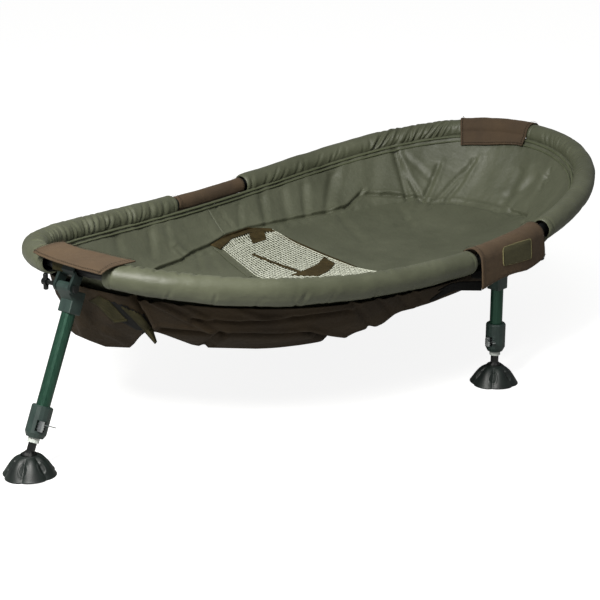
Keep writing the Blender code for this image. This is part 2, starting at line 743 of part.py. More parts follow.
def cloth_strip(name, angles, path, finish_name):
    """A strip of cloth along the hoop; path is its line of (out, up), or one such line at each angle."""
    half = COVER_CLOTH / 2
    paths = path if isinstance(path[0], list) else [path] * len(angles)

    def loop(station):
        path = paths[station]
        outer, inner = [], []
        for k, (out, up) in enumerate(path):
            before = path[max(k - 1, 0)]
            after = path[min(k + 1, len(path) - 1)]
            run_out, run_up = after[0] - before[0], after[1] - before[1]
            size = hypot(run_out, run_up)
            normal = (-run_up / size * half, run_out / size * half)
            outer.append((out + normal[0], up + normal[1]))
            inner.append((out - normal[0], up - normal[1]))
        return outer + inner[::-1]

    points, loops, faces = swept(angles, loop)
    count = len(paths[0])
    for which in (0, -1):
        ring = loops[which]
        for k in range(count - 1):
            faces.append((ring[k], ring[k + 1], ring[2 * count - 2 - k], ring[2 * count - 1 - k]))
    return add_object(name, mesh_from(name, points, faces), finish_name)


def arc_path(radius, arc, count):
    """Points of an arc as (out, up), between two angles in degrees from outwards."""
    return [(radius * cos(radians(a)), radius * sin(radians(a))) for a in spaced(*arc, count)]


def liner_slope(angle, share):
    """Point on the liner's wall, a share of the way down from its edge, as (out, up) from the hoop."""
    centre = hoop_point(angle)
    _, outward, upward = hoop_frame(angle)
    high = centre - outward * LINER_INSET
    high.z = centre.z - LINER_DROP
    x = FOLD_X + (centre.x - FOLD_X) * (1 + FLOOR_LENGTH_SHARE) / 2 - outward.x * LINER_INSET / 2
    y = centre.y * (1 + FLOOR_WIDTH_SHARE) / 2 - outward.y * LINER_INSET / 2
    low = Vector((x, y, (centre.z - LINER_DROP + floor_edge(angle)) / 2 - WALL_SAG))
    spot = high.lerp(low, share) - centre
    return spot.dot(outward), spot.dot(upward)


def make_covers():
    """Cloth covers over the leg brackets and the rear fold joint."""
    lifted = [(-COVER_A_HALF, COVER_A_LIFT), (0, COVER_A_LIFT), (COVER_A_HALF, COVER_A_LIFT + COVER_CLOTH)]
    cloth_strip("cover_left_end", on_grid(*COVER_A_ANGLES), lifted, "brown_cordura")
    wrap = SLEEVE_RADIUS + COVER_SLEEVE_GAP + COVER_CLOTH / 2
    over_end = []
    for angle in on_grid(*COVER_C_ANGLES):
        inside = [liner_slope(angle, share) for share in COVER_C_SHARES]
        over_end.append(arc_path(wrap, COVER_C_ARC, COVER_ARC_STEPS + 1)
                        + [(out - COVER_C_LIFT, up + COVER_C_LIFT) for out, up in inside])
    cloth_strip("cover_right_end", on_grid(*COVER_C_ANGLES), over_end, "brown_cordura")
    tight = COVER_FIT_RADIUS + COVER_CLOTH / 2
    hanging = [(wrap + COVER_CLOTH, -COVER_D_DROP), (wrap + COVER_CLOTH / 2, -COVER_D_DROP / 2)]
    over_rear = hanging + [(wrap, COVER_B_TURN_HEIGHT)] + arc_path(tight, COVER_B_ARC, COVER_ARC_STEPS)
    cloth_strip("cover_rear", on_grid(*COVER_B_ANGLES), over_rear, "brown_cordura")
    draped = hanging + arc_path(wrap, COVER_D_ARC, COVER_ARC_STEPS)
    cloth_strip("cover_front", on_grid(*COVER_D_ANGLES), draped, "brown_cordura")


def leg_frame(name, spec):
    """Empties for one leg: at the hoop, and at the bolt with the leg's splay."""
    spot = hoop_point(spec["hoop_angle"])
    _, outward, _ = hoop_frame(spec["hoop_angle"])
    mount = bpy.data.objects.new("mount_" + name, None)
    bpy.context.scene.collection.objects.link(mount)
    mount.location = spot
    mount.rotation_euler = (0, 0, atan2(outward.y, outward.x))
    pivot = bpy.data.objects.new("pivot_" + name, None)
    bpy.context.scene.collection.objects.link(pivot)
    pivot.parent = mount
    pivot.location = (spec["bolt_out"], 0, -BOLT_DROP)
    pivot.rotation_euler = (0, -radians(spec["splay"]), 0)
    bpy.context.view_layer.update()
    return mount, pivot


def ball_distance(pivot, offset):
    """Length along the leg from the bolt's level to the ball, and the ball's empty."""
    base = pivot.matrix_world
    start = base @ Vector((-offset, 0, 0))
    down = base.to_3x3() @ Vector((0, 0, -1))
    return (start.z - BALL_HEIGHT) / -down.z


def make_bracket(name, mount, spec):
    """A split ring on the hoop tube with two ears for the bolt."""
    half = BRACKET_WIDTH / 2
    ring = rod_mesh("ring", HOOP_TUBE_RADIUS + spec["ring"], -half, half, "Y", TUBE_SIDES)
    bracket = add_object("leg_bracket_" + name, ring, None, mount)
    inner = HEAD_WIDTH / 2 + RUNNING_GAP
    outline = stadium((0, 0), (spec["bolt_out"], -BOLT_DROP), EAR_RADIUS)
    ears = []
    for sign in (1, -1):
        low, high = sorted((sign * inner, sign * (inner + EAR_THICKNESS)))
        ears.append(outline_prism("ear", outline, -high, -low, "Y"))
    combine(bracket, ears, "UNION")
    bore = rod_mesh("bore", HOOP_TUBE_RADIUS + spec["bore_fit"], -2 * half, 2 * half, "Y", TUBE_SIDES)
    bolt_hole = place(rod_mesh("bolt_hole", BOLT_RADIUS + SEAT_GAP, -2 * half, 2 * half, "Y"),
                      spec["bolt_out"], 0, -BOLT_DROP)
    combine(bracket, (bore, bolt_hole), "DIFFERENCE")
    finish(shade(bracket), "grey_nylon_moulding")


def make_bolt(name, mount, spec):
    """The clamp bolt with its T-bar knob, and a round head at the far side."""
    far = HEAD_WIDTH / 2 + RUNNING_GAP + EAR_THICKNESS + SEAT_GAP
    near = far + KNOB_STAND
    head = far + EAR_THICKNESS
    profile = [(0, -head), (KNOB_HUB_RADIUS, -head), (KNOB_HUB_RADIUS, -far), (BOLT_RADIUS, -far),
               (BOLT_RADIUS, near), (KNOB_HUB_RADIUS, near), (KNOB_HUB_RADIUS, near + KNOB_HUB_LENGTH),
               (0, near + KNOB_HUB_LENGTH)]
    bolt = turned("bolt", profile, SMALL_SIDES)
    bolt.transform(Matrix.Rotation(-pi / 2, 4, "X"))
    obj = add_object("t_bar_bolt_" + name, bolt, None, mount)
    half = spec["bar_half"]
    bar = rod_mesh("bar", KNOB_BAR_RADIUS, -half, half, "Z", SMALL_SIDES, KNOB_BAR_RADIUS / 3)
    place(bar, 0, near + KNOB_HUB_LENGTH / 2, 0)
    combine(obj, (bar,), "UNION")
    obj.location = (spec["bolt_out"], 0, -BOLT_DROP)
    obj.rotation_euler = (0, 0, radians(spec["knob_turn"]))
    finish(shade(obj), "black_moulding")


def make_head(name, pivot, offset):
    """The leg's head: a block with a socket for the tube and a lug for the bolt."""
    half_y = HEAD_WIDTH / 2
    half_x = HEAD_DEPTH / 2
    block = box_mesh("block", (-offset - half_x, -half_y, -HEAD_LENGTH),
                     (-offset + half_x, half_y, -HEAD_TOP), HEAD_BEVEL)
    head = add_object("leg_head_" + name, block, None, pivot)
    outline = stadium((-offset + half_x / 2, -HEAD_LENGTH / 3), (0, 0), LUG_RADIUS)
    lug = outline_prism("lug", outline, -half_y + SEAT_GAP, half_y - SEAT_GAP, "Y")
    combine(head, (lug,), "UNION")
    socket = place(rod_mesh("socket", LEG_TUBE_RADIUS + SEAT_GAP, -HEAD_LENGTH - OVERRUN,
                            HEAD_SOCKET - HEAD_LENGTH, "Z", ROUND_SIDES), -offset, 0, 0)
    hole = rod_mesh("hole", BOLT_RADIUS + SEAT_GAP, -HEAD_WIDTH, HEAD_WIDTH, "Y")
    combine(head, (socket, hole), "DIFFERENCE")
    finish(shade(head), "grey_nylon_moulding")


def make_upper_tube(name, pivot, reach, offset):
    """The green outer tube from the head's socket into the collar."""
    top = HEAD_SOCKET - HEAD_LENGTH - SEAT_GAP
    bottom = -(reach - COLLAR_ABOVE_BALL - COLLAR_LENGTH + COLLAR_SOCKET - SEAT_GAP)
    bore = LEG_TUBE_RADIUS - LEG_TUBE_WALL
    profile = [(LEG_TUBE_RADIUS, bottom), (LEG_TUBE_RADIUS, top), (bore, top), (bore, bottom)]
    mesh = place(turned("tube", profile), -offset, 0, 0)
    add_object("leg_tube_" + name, mesh, "green_tube", pivot)


def make_collar(name, pivot, reach, turn, offset):
    """The cam collar: a turned housing with a chamfered foot and a window for the cam."""
    bottom = -(reach - COLLAR_ABOVE_BALL)
    top = bottom + COLLAR_LENGTH
    wide = LEG_TUBE_RADIUS + SEAT_GAP
    tight = STEM_RADIUS + RUNNING_GAP
    step = top - COLLAR_SOCKET
    profile = [(tight, bottom), (COLLAR_RADIUS - COLLAR_CHAMFER / 2, bottom), (COLLAR_RADIUS, bottom + COLLAR_CHAMFER),
               (COLLAR_RADIUS, top - COLLAR_TOP_ROUND), (COLLAR_RADIUS - COLLAR_TOP_ROUND, top), (wide, top),
               (wide, step), (tight, step)]
    collar = add_object("cam_collar_" + name, turned("collar", profile), None, pivot)
    collar.location = (-offset, 0, 0)
    collar.rotation_euler = (0, 0, radians(turn))
    low = bottom + WINDOW_RISE
    window = box_mesh("window", (COLLAR_RADIUS - WINDOW_DEPTH, -WINDOW_WIDTH / 2, low),
                      (COLLAR_RADIUS + OVERRUN, WINDOW_WIDTH / 2, low + WINDOW_HEIGHT))
    window.transform(Matrix.Translation((-offset, 0, 0)) @ Matrix.Rotation(radians(turn), 4, "Z"))
    bpy.context.view_layer.update()
    combine(collar, (window,), "DIFFERENCE")
    finish(shade(collar), "grey_nylon_moulding")
    return low


def make_lever(name, pivot, low, turn, offset):
    """Cam lever: a stack of plates on an upright pin, one of them drawn out as the handle."""
    foot = low + SEAT_GAP
    head = low + WINDOW_HEIGHT - SEAT_GAP
    lever = add_object("cam_lever_" + name, rod_mesh("cam", CAM_RADIUS, foot, head, "Z", SMALL_SIDES), None, pivot)
    spread = (head - foot - CAM_PLATE) / (CAM_PLATES + 1)
    plates = []
    for k in range(CAM_PLATES):
        base = foot + spread * (k + 1)
        plates.append(rod_mesh("plate", CAM_PLATE_RADIUS, base, base + CAM_PLATE, "Z", SMALL_SIDES))
    base = foot + spread * CAM_PLATES
    outline = stadium((0, 0), (LEVER_LEAN, LEVER_LENGTH), LEVER_WIDTH / 2)
    inset = CAM_PLATE / 6
    plates.append(outline_prism("handle", outline, base + inset, base + CAM_PLATE - inset))
    combine(lever, plates, "UNION")
    out = COLLAR_RADIUS - WINDOW_DEPTH + CAM_PLATE_RADIUS + CAM_STAND
    spin = radians(turn)
    lever.location = (-offset + out * cos(spin), out * sin(spin), 0)
    lever.rotation_euler = (0, 0, spin)
    finish(shade(lever), "zinc_steel")


def make_stem(name, pivot, reach, spec):
    """The inner tube with its neck and ball, and the white bush on it."""
    offset = spec["offset"]
    collar_foot = -(reach - COLLAR_ABOVE_BALL)
    top = collar_foot + spec["slide"] + COLLAR_LENGTH
    bush_top = collar_foot - SEAT_GAP
    bush_low = bush_top - BUSH_HEIGHT
    ball = -reach
    join = ball + (BALL_RADIUS ** 2 - NECK_RADIUS ** 2) ** 0.5
    first = degrees(atan2(join - ball, NECK_RADIUS))
    profile = [(0, top), (STEM_RADIUS, top), (STEM_RADIUS, bush_top + SEAT_GAP), (NECK_RADIUS, bush_top + SEAT_GAP)]
    profile += [(BALL_RADIUS * cos(radians(a)), ball + BALL_RADIUS * sin(radians(a)))
                for a in spaced(first, -90.0, BALL_STEPS)[:-1]]
    profile.append((0, ball - BALL_RADIUS))
    add_object("foot_stem_" + name, place(turned("stem", profile, TUBE_SIDES), -offset, 0, 0),
               "black_moulding", pivot)
    hole = NECK_RADIUS + SEAT_GAP
    profile = [(hole, bush_low), (BUSH_RADIUS, bush_low), (BUSH_RADIUS, bush_top), (hole, bush_top)]
    add_object("neck_bush_" + name, place(turned("bush", profile, TUBE_SIDES), -offset, 0, 0),
               "white_bush", pivot)


def make_foot(name, pivot, reach, offset):
    """Lobed mud foot with a cup that holds the ball, flat on the ground."""
    ball = pivot.matrix_world @ Vector((-offset, 0, -reach))
    heading = pivot.matrix_world.to_euler().z
    sides = FOOT_LOBES * FOOT_STEPS_PER_LOBE
    cup = BALL_RADIUS + CUP_FIT
    rings = [
        (FOOT_RADIUS, 0, 1.0),
        (FOOT_RADIUS, FOOT_HEM, 1.0),
        (FOOT_WAIST_RADIUS, FOOT_WAIST_HEIGHT, FOOT_WAIST_LOBE_SHARE),
        (FOOT_CUP_RADIUS, FOOT_CUP_HEIGHT, 0.0),
        (cup, FOOT_CUP_HEIGHT, 0.0),
    ]
    start = degrees(atan2(FOOT_CUP_HEIGHT - BALL_HEIGHT, cup))
    rings[-1] = (cup * cos(radians(start)), FOOT_CUP_HEIGHT, 0.0)
    rings += [(cup * cos(radians(a)), BALL_HEIGHT + cup * sin(radians(a)), 0.0) for a in FOOT_CUP_ANGLES]
    points, loops = [], []
    for radius, height, lobe_share in rings:
        loop = []
        for k in range(sides):
            angle = 2 * pi * k / sides
            swell = FOOT_LOBE * lobe_share * cos(FOOT_LOBES * angle)
            loop.append(len(points))
            points.append(((radius + swell) * cos(angle), (radius + swell) * sin(angle), height))
        loops.append(loop)
    faces = []
    for low, high in zip(loops, loops[1:]):
        faces += [(low[k], low[(k + 1) % sides], high[(k + 1) % sides], high[k]) for k in range(sides)]
    socket_low = len(points)
    points.append((0, 0, BALL_HEIGHT - cup))
    faces += [(loops[-1][k], loops[-1][(k + 1) % sides], socket_low) for k in range(sides)]
    sole = []
    inset = FOOT_RADIUS - FOOT_LOBE - FOOT_HOLLOW_INSET
    for radius, height in ((inset, 0), (inset * FOOT_HOLLOW_SHARE, FOOT_HOLLOW)):
        loop = []
        for k in range(sides):
            angle = 2 * pi * k / sides
            loop.append(len(points))
            points.append((radius * cos(angle), radius * sin(angle), height))
        sole.append(loop)
    faces += [(loops[0][(k + 1) % sides], loops[0][k], sole[0][k], sole[0][(k + 1) % sides]) for k in range(sides)]
    faces += [(sole[0][(k + 1) % sides], sole[0][k], sole[1][k], sole[1][(k + 1) % sides]) for k in range(sides)]
    crown = len(points)
    points.append((0, 0, FOOT_HOLLOW))
    faces += [(sole[1][(k + 1) % sides], sole[1][k], crown) for k in range(sides)]
    foot = add_object("mud_foot_" + name, mesh_from("foot", points, faces), "foot_rubber")
    foot.location = (ball.x, ball.y, 0)
    foot.rotation_euler = (0, 0, heading)


def make_leg(name, spec):
    """All the pieces of one leg."""
    mount, pivot = leg_frame(name, spec)
    offset = spec["offset"]
    reach = ball_distance(pivot, offset)
    make_bracket(name, mount, spec)
    make_bolt(name, mount, spec)
    make_head(name, pivot, offset)
    make_upper_tube(name, pivot, reach, offset)
    low = make_collar(name, pivot, reach, spec["lever_turn"], offset)
    make_lever(name, pivot, low, spec["lever_turn"], offset)
    make_stem(name, pivot, reach, spec)
    make_foot(name, pivot, reach, offset)


make_hoops()
make_fold()
make_sleeves()
LINER_HALVES = make_liner()
make_drain(LINER_HALVES)
make_belly()
make_covers()
for leg_name, leg_spec in LEGS.items():
    make_leg(leg_name, leg_spec)
bpy.context.view_layer.update()
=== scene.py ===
import math
import random

import bmesh
import bpy
import numpy as np
from mathutils import Matrix, Vector, noise
from mathutils.bvhtree import BVHTree


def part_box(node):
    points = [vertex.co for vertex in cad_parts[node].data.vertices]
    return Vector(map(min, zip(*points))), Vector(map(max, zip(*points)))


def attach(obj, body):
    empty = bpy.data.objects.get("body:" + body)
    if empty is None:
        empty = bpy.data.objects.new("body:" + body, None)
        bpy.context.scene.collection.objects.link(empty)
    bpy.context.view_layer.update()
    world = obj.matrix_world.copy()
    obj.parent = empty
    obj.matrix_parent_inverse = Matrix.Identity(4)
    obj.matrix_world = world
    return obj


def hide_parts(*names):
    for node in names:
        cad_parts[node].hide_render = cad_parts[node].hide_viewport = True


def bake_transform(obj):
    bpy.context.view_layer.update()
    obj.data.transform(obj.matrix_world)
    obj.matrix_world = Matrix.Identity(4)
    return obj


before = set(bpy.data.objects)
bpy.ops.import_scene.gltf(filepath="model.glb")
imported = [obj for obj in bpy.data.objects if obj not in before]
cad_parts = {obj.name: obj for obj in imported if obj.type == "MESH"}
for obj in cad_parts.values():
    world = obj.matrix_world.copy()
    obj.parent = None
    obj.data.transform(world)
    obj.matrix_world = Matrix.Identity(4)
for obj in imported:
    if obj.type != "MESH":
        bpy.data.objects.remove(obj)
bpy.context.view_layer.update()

MM = 0.001

# Camera, set from the hoop's oval in the photograph
CAMERA_PLACE = Vector((-2.2922, -1.8609, 1.060))
CAMERA_TURN = (math.radians(71.9), 0.0, math.radians(-49.9))
CAMERA_LENS = 102.0
SENSOR_WIDTH = 36.0
PHOTO_SIZE = 600.0
PHOTO_FOCAL = 1700.0
CAMERA_AXES = Matrix.Rotation(CAMERA_TURN[2], 3, "Z") @ Matrix.Rotation(CAMERA_TURN[0], 3, "X")


def make_camera():
    """The photograph's own viewpoint."""
    data = bpy.data.cameras.new("camera")
    data.lens = CAMERA_LENS
    data.sensor_width = SENSOR_WIDTH
    camera = bpy.data.objects.new("camera", data)
    camera.location = CAMERA_PLACE
    camera.rotation_euler = CAMERA_TURN
    bpy.context.scene.collection.objects.link(camera)
    bpy.context.scene.camera = camera


make_camera()


def seen_at(points):
    """Where points fall in the photograph, in its pixels."""
    local = (np.asarray(points) - np.array(CAMERA_PLACE)) @ np.array(CAMERA_AXES)
    depth = -local[:, 2]
    half = PHOTO_SIZE / 2
    across = half + PHOTO_FOCAL * local[:, 0] / depth
    down = half - PHOTO_FOCAL * local[:, 1] / depth
    return np.stack([across, down], axis=1)


def sight(u, v):
    """Direction from the camera through a pixel of the photograph."""
    half = PHOTO_SIZE / 2
    return (CAMERA_AXES @ Vector(((u - half) / PHOTO_FOCAL, (half - v) / PHOTO_FOCAL, -1.0))).normalized()


# Materials

def linear(hex_text):
    """Linear colour of an sRGB hex value."""
    out = []
    for start in (0, 2, 4):
        value = int(hex_text[start:start + 2], 16) / 255.0
        out.append(value / 12.92 if value <= 0.04045 else ((value + 0.055) / 1.055) ** 2.4)
    return (*out, 1.0)


def add_node(tree, kind, settings=None, values=None, links=None):
    """Add a node with its settings, input values and links."""
    node = tree.nodes.new(kind)
    for name, value in (settings or {}).items():
        setattr(node, name, value)
    for name, value in (values or {}).items():
        node.inputs[name].default_value = value
    for name, source in (links or {}).items():
        tree.links.new(source, node.inputs[name])
    return node


def new_material(name, **sockets):
    """A material with its shader's constant sockets set."""
    material = bpy.data.materials.new(name)
    material.use_nodes = True
    shader = material.node_tree.nodes["Principled BSDF"]
    for socket, value in sockets.items():
        shader.inputs[socket.replace("_", " ")].default_value = value
    return material, material.node_tree, shader


def mottled(tree, coordinates, shades, scale):
    """Colour that drifts between two shades."""
    cloud = add_node(tree, "ShaderNodeTexNoise", {}, {"Scale": scale, "Detail": 4.0, "Roughness": 0.6},
                     {"Vector": coordinates})
    ramp = add_node(tree, "ShaderNodeValToRGB", {}, {}, {"Fac": cloud.outputs["Fac"]})
    for element, stop, shade in zip(ramp.color_ramp.elements, (0.35, 0.65), shades):
        element.position = stop
        element.color = linear(shade)
    return ramp


def mottled_material(name, shades, scale, **sockets):
    """A material whose colour drifts between two shades, with the coordinates that its patterns use."""
    material, tree, shader = new_material(name, **sockets)
    spot = add_node(tree, "ShaderNodeTexCoord")
    ramp = mottled(tree, spot.outputs["Object"], shades, scale)
    tree.links.new(ramp.outputs["Color"], shader.inputs["Base Color"])
    return material, tree, shader, spot


def wave(tree, coordinates, direction, pitch, distortion=0.0):
    """Bands with this pitch in metres."""
    return add_node(tree, "ShaderNodeTexWave", {"bands_direction": direction},
                    {"Scale": 1.0 / pitch / math.pi, "Distortion": distortion, "Detail": 0.0},
                    {"Vector": coordinates})


def bumped(tree, shader, heights):
    """Chain bumps, each (height socket, strength, distance in metres)."""
    last = None
    for height, strength, distance in heights:
        links = {"Height": height} if last is None else {"Height": height, "Normal": last}
        bump = add_node(tree, "ShaderNodeBump", {}, {"Strength": strength, "Distance": distance}, links)
        last = bump.outputs["Normal"]
    tree.links.new(last, shader.inputs["Normal"])


def make_fabric(name, shades, pitch, roughness, sheen, crumple, weave=0.35, tint="a8ad98"):
    """Woven cloth: thread bump at its pitch, soft crumple, and colour that drifts a little."""
    material, tree, shader, spot = mottled_material(
        name, shades, 9.0, Roughness=roughness, Sheen_Weight=sheen, Sheen_Roughness=0.5,
        Sheen_Tint=linear(tint), Specular_IOR_Level=0.4)
    warp = wave(tree, spot.outputs["UV"], "X", pitch)
    weft = wave(tree, spot.outputs["UV"], "Y", pitch)
    threads = add_node(tree, "ShaderNodeMath", {"operation": "MULTIPLY"}, {},
                       {0: warp.outputs["Fac"], 1: weft.outputs["Fac"]})
    creases = add_node(tree, "ShaderNodeTexNoise", {}, {"Scale": 34.0, "Detail": 5.0, "Roughness": 0.55},
                       {"Vector": spot.outputs["Object"]})
    bumped(tree, shader, [(creases.outputs["Fac"], crumple, 6.0 * MM),
                          (threads.outputs[0], weave, 0.35 * MM)])
    return material


# Polyurethane coated nylon, closely woven: smooth and satin, so it takes broad soft highlights.
# Its 0.4 mm threads are drawn at 1.4 mm, or they would not show.
SLEEVE_NYLON = make_fabric("coated_nylon_sleeve", ("4a4d3c", "575a48"), 1.4 * MM, 0.42, 0.1, 0.3)
LINER_NYLON = make_fabric("coated_nylon_liner", ("4b4e3e", "565948"), 1.4 * MM, 0.46, 0.1, 0.5)
# Coarse 600 denier polyester: dull, with a heavy thread that catches the light, drawn at 1.9 mm
COVER_CANVAS = make_fabric("woven_polyester_cover", ("3f3224", "4e3e2b"), 1.9 * MM, 0.85, 0.2, 0.4, 0.8,
                           "b09a80")
# Light polyester of the outer bag: dull, and deeply creased from folding
BAG_CLOTH = make_fabric("woven_polyester_bag", ("281e10", "322614"), 1.6 * MM, 0.9, 0.04, 0.8, 0.4, "8a7a60")
# Painted shade: black cloth standing in for the shade deep in the open ends of the sleeves and in the gap
# behind the straps; dull, and takes no highlight
PAINTED_SHADE_BLACK = make_fabric("painted_shade_black_cloth", ("050505", "0a0a09"), 1.6 * MM, 0.9, 0.0, 0.3, 0.4,
                           "202020")
# Bias cut nylon rolled over a cord: a thin line of highlight along its top
PIPING_NYLON = make_fabric("nylon_piping", ("474c36", "545942"), 1.2 * MM, 0.5, 0.25, 0.2, 0.4)
# Cotton twill of the plain sewn patch: dark olive, with a strong thread
PATCH_TWILL = make_fabric("olive_twill_patch", ("34321f", "46432b"), 1.5 * MM, 0.8, 0.3, 0.3, 0.8, "a09a70")


def make_webbing(name, shades, rib):
    """Woven polypropylene webbing: ribs across the strap, and a slight gloss on each."""
    material, tree, shader, spot = mottled_material(name, shades, 60.0, Roughness=0.75,
                                                    Specular_IOR_Level=0.25)
    ribs = wave(tree, spot.outputs["UV"], "Y", rib, 0.4)
    bumped(tree, shader, [(ribs.outputs["Fac"], 0.8, 0.6 * MM)])
    return material


# Polypropylene webbing of the straps: close ribs that each catch a little light
OLIVE_WEBBING = make_webbing("olive_polypropylene_webbing", ("29260f", "37331c"), 2.4 * MM)
BLACK_WEBBING = make_webbing("black_polypropylene_webbing", ("060606", "0f0e0d"), 2.4 * MM)
# Folded tape that binds the edges of the net: finer ribs, and a brown that stands off the liner
BROWN_BINDING = make_webbing("brown_binding_tape", ("32290f", "43381c"), 1.8 * MM)
# Spun polyester sewing thread, whose twist breaks each stitch into light and dark
THREAD = make_webbing("sewing_thread", ("2a2118", "3a2f22"), 0.8 * MM)
PATCH_THREAD = make_webbing("patch_edge_thread", ("7a7550", "8a845c"), 0.8 * MM)


def make_moulding(name, shades, roughness, grain=0.15, scale=420.0):
    """Injection moulding: the tool's fine matt grain, about 2 mm here so that it shows."""
    material, tree, shader, spot = mottled_material(name, shades, 40.0, Roughness=roughness)
    grit = add_node(tree, "ShaderNodeTexNoise", {}, {"Scale": scale, "Detail": 3.0, "Roughness": 0.6},
                    {"Vector": spot.outputs["Object"]})
    bumped(tree, shader, [(grit.outputs["Fac"], grain, 0.5 * MM)])
    return material


# Glass filled nylon of the leg heads and collars: slate green, nearly matt
CLAMP_NYLON = make_moulding("glass_filled_nylon_clamp", ("1e2c29", "2b3b36"), 0.45)
# The same nylon in the brackets on the hoop, in a darker green that is painted shade for the covers and jaws
# that shade them, with a little more gloss
SHADED_BRACKET_NYLON = make_moulding("glass_filled_nylon_bracket_painted_shade", ("121c1a", "1b2926"), 0.4)
# Black moulded nylon of the knob and the foot's stem: a soft gloss
BLACK_NYLON = make_moulding("moulded_black_nylon", ("060807", "0e1110"), 0.35)
# Moulded rubber foot: dull, with a soft highlight on its folds
FOOT_RUBBER = make_moulding("moulded_foot_rubber", ("08100e", "141e1a"), 0.5, 0.3, 260.0)
# White acetal bush: smooth, slightly waxy
WHITE_ACETAL = make_moulding("moulded_acetal_bush", ("b2b8b3", "c6ccc6"), 0.35)


def make_metal(name, shades, roughness, metallic, stretch):
    """Metal with faint marks; stretch says how close together they lie along each axis."""
    material, tree, shader = new_material(name, Roughness=roughness, Metallic=metallic)
    spot = add_node(tree, "ShaderNodeTexCoord")
    drawn = add_node(tree, "ShaderNodeMapping", {}, {"Scale": stretch}, {"Vector": spot.outputs["Object"]})
    ramp = mottled(tree, drawn.outputs["Vector"], shades, 1.0)
    tree.links.new(ramp.outputs["Color"], shader.inputs["Base Color"])
    marks = add_node(tree, "ShaderNodeTexNoise", {}, {"Scale": 6.0, "Detail": 4.0},
                     {"Vector": drawn.outputs["Vector"]})
    bumped(tree, shader, [(marks.outputs["Fac"], 0.08, 0.3 * MM)])
    return material


# Green anodised aluminium leg: a dyed oxide that keeps the metal's sharp highlight
ANODISED_TUBE = make_metal("green_anodised_aluminium", ("1f3f32", "2a4d3d"), 0.34, 0.55, (300.0, 300.0, 12.0))
# Zinc plated steel of the cams and pins: bright, a little blue
ZINC_STEEL = make_metal("zinc_plated_steel", ("9da3a4", "c2c7c8"), 0.28, 1.0, (90.0, 90.0, 90.0))
# Black powder coat on the hoop: hides the metal, and has a low sheen
COATED_STEEL = make_metal("powder_coated_steel", ("0d0f10", "17191a"), 0.45, 0.2, (60.0, 60.0, 60.0))


def make_net():
    """Knitted polyester net: pale, dull and slightly hairy."""
    material, tree, shader, spot = mottled_material("knitted_polyester_net", ("a9ad9b", "cdd0c0"), 160.0,
                                                    Roughness=0.8, Sheen_Weight=0.3)
    twist = add_node(tree, "ShaderNodeTexNoise", {}, {"Scale": 900.0, "Detail": 2.0},
                     {"Vector": spot.outputs["Object"]})
    bumped(tree, shader, [(twist.outputs["Fac"], 0.4, 0.4 * MM)])
    return material


# Knitted polyester: pale matt threads, so the open cells read as dark holes
DRAIN_NET = make_net()


# Shapes

def add_piece(name, points, faces, material, uvs=None, smooth=True):
    """A piece from points and faces; uvs gives each point its place on the cloth in metres."""
    mesh = bpy.data.meshes.new(name)
    mesh.from_pydata([tuple(p) for p in points], [], faces)
    if uvs is not None:
        layer = mesh.uv_layers.new(name="cloth")
        index = np.empty(len(mesh.loops), dtype=np.int32)
        mesh.loops.foreach_get("vertex_index", index)
        layer.data.foreach_set("uv", np.asarray(uvs, dtype=np.float32)[index].ravel())
    if smooth:
        mesh.shade_smooth()
    mesh.materials.append(material)
    piece = bpy.data.objects.new(name, mesh)
    bpy.context.scene.collection.objects.link(piece)
    return piece


def turn_out(piece):
    """Make a closed piece's faces point out."""
    builder = bmesh.new()
    builder.from_mesh(piece.data)
    bmesh.ops.recalc_face_normals(builder, faces=builder.faces)
    builder.to_mesh(piece.data)
    builder.free()
    return piece


def settle(piece):
    """Apply a piece's modifiers to its mesh."""
    bpy.context.view_layer.update()
    ready = piece.evaluated_get(bpy.context.evaluated_depsgraph_get())
    mesh = bpy.data.meshes.new_from_object(ready)
    piece.modifiers.clear()
    piece.data = mesh
    return piece


def thickened(piece, thickness, offset=-1.0):
    """Give a sheet its thickness."""
    solid = piece.modifiers.new("thickness", "SOLIDIFY")
    solid.thickness = thickness
    solid.offset = offset
    return settle(piece)


def grid_faces(rows, columns, around=False):
    """Faces of a grid of points; around joins its last column to its first."""
    faces = []
    for i in range(rows - 1):
        for j in range(columns if around else columns - 1):
            m = (j + 1) % columns
            faces.append((i * columns + j, i * columns + m, (i + 1) * columns + m, (i + 1) * columns + j))
    return faces


def surface_of(*pieces):
    """A search tree over pieces, to lay other pieces on."""
    points, faces = [], []
    for piece in pieces:
        start = len(points)
        points += [v.co.copy() for v in piece.data.vertices]
        faces += [tuple(start + k for k in p.vertices) for p in piece.data.polygons]
    return BVHTree.FromPolygons(points, faces)


def drift(points, size, seed):
    """Smooth noise at points, with lumps of about this size in metres."""
    return np.array([noise.noise((p[0] / size, p[1] / size, p[2] / size + seed * 7.7)) for p in points])


# Where the sling is cut into a left and a right half, at the fold
FOLD_X = -5.0 * MM
# A piece is left whole if its smaller half would be less than this share of the larger
SLIVER_SHARE = 0.08


def split_at_fold(piece):
    """Cut a piece that crosses the fold into a left and a right piece."""
    halves = {}
    for side in ("left", "right"):
        mesh = piece.data.copy()
        builder = bmesh.new()
        builder.from_mesh(mesh)
        whole = list(builder.verts) + list(builder.edges) + list(builder.faces)
        bmesh.ops.bisect_plane(builder, geom=whole, plane_co=(FOLD_X, 0, 0), plane_no=(1, 0, 0), dist=1e-6,
                               clear_outer=side == "left", clear_inner=side == "right")
        builder.to_mesh(mesh)
        builder.free()
        half = bpy.data.objects.new(piece.name + "_" + side, mesh)
        bpy.context.scene.collection.objects.link(half)
        halves[side] = half
    sizes = {side: sum(p.area for p in half.data.polygons) for side, half in halves.items()}
    bigger = max(sizes, key=sizes.get)
    other = "left" if bigger == "right" else "right"
    if sizes[other] < SLIVER_SHARE * sizes[bigger]:
        bpy.data.objects.remove(halves[other])
        bpy.data.objects.remove(halves[bigger])
        return {bigger: piece}
    bpy.data.objects.remove(piece)
    return halves


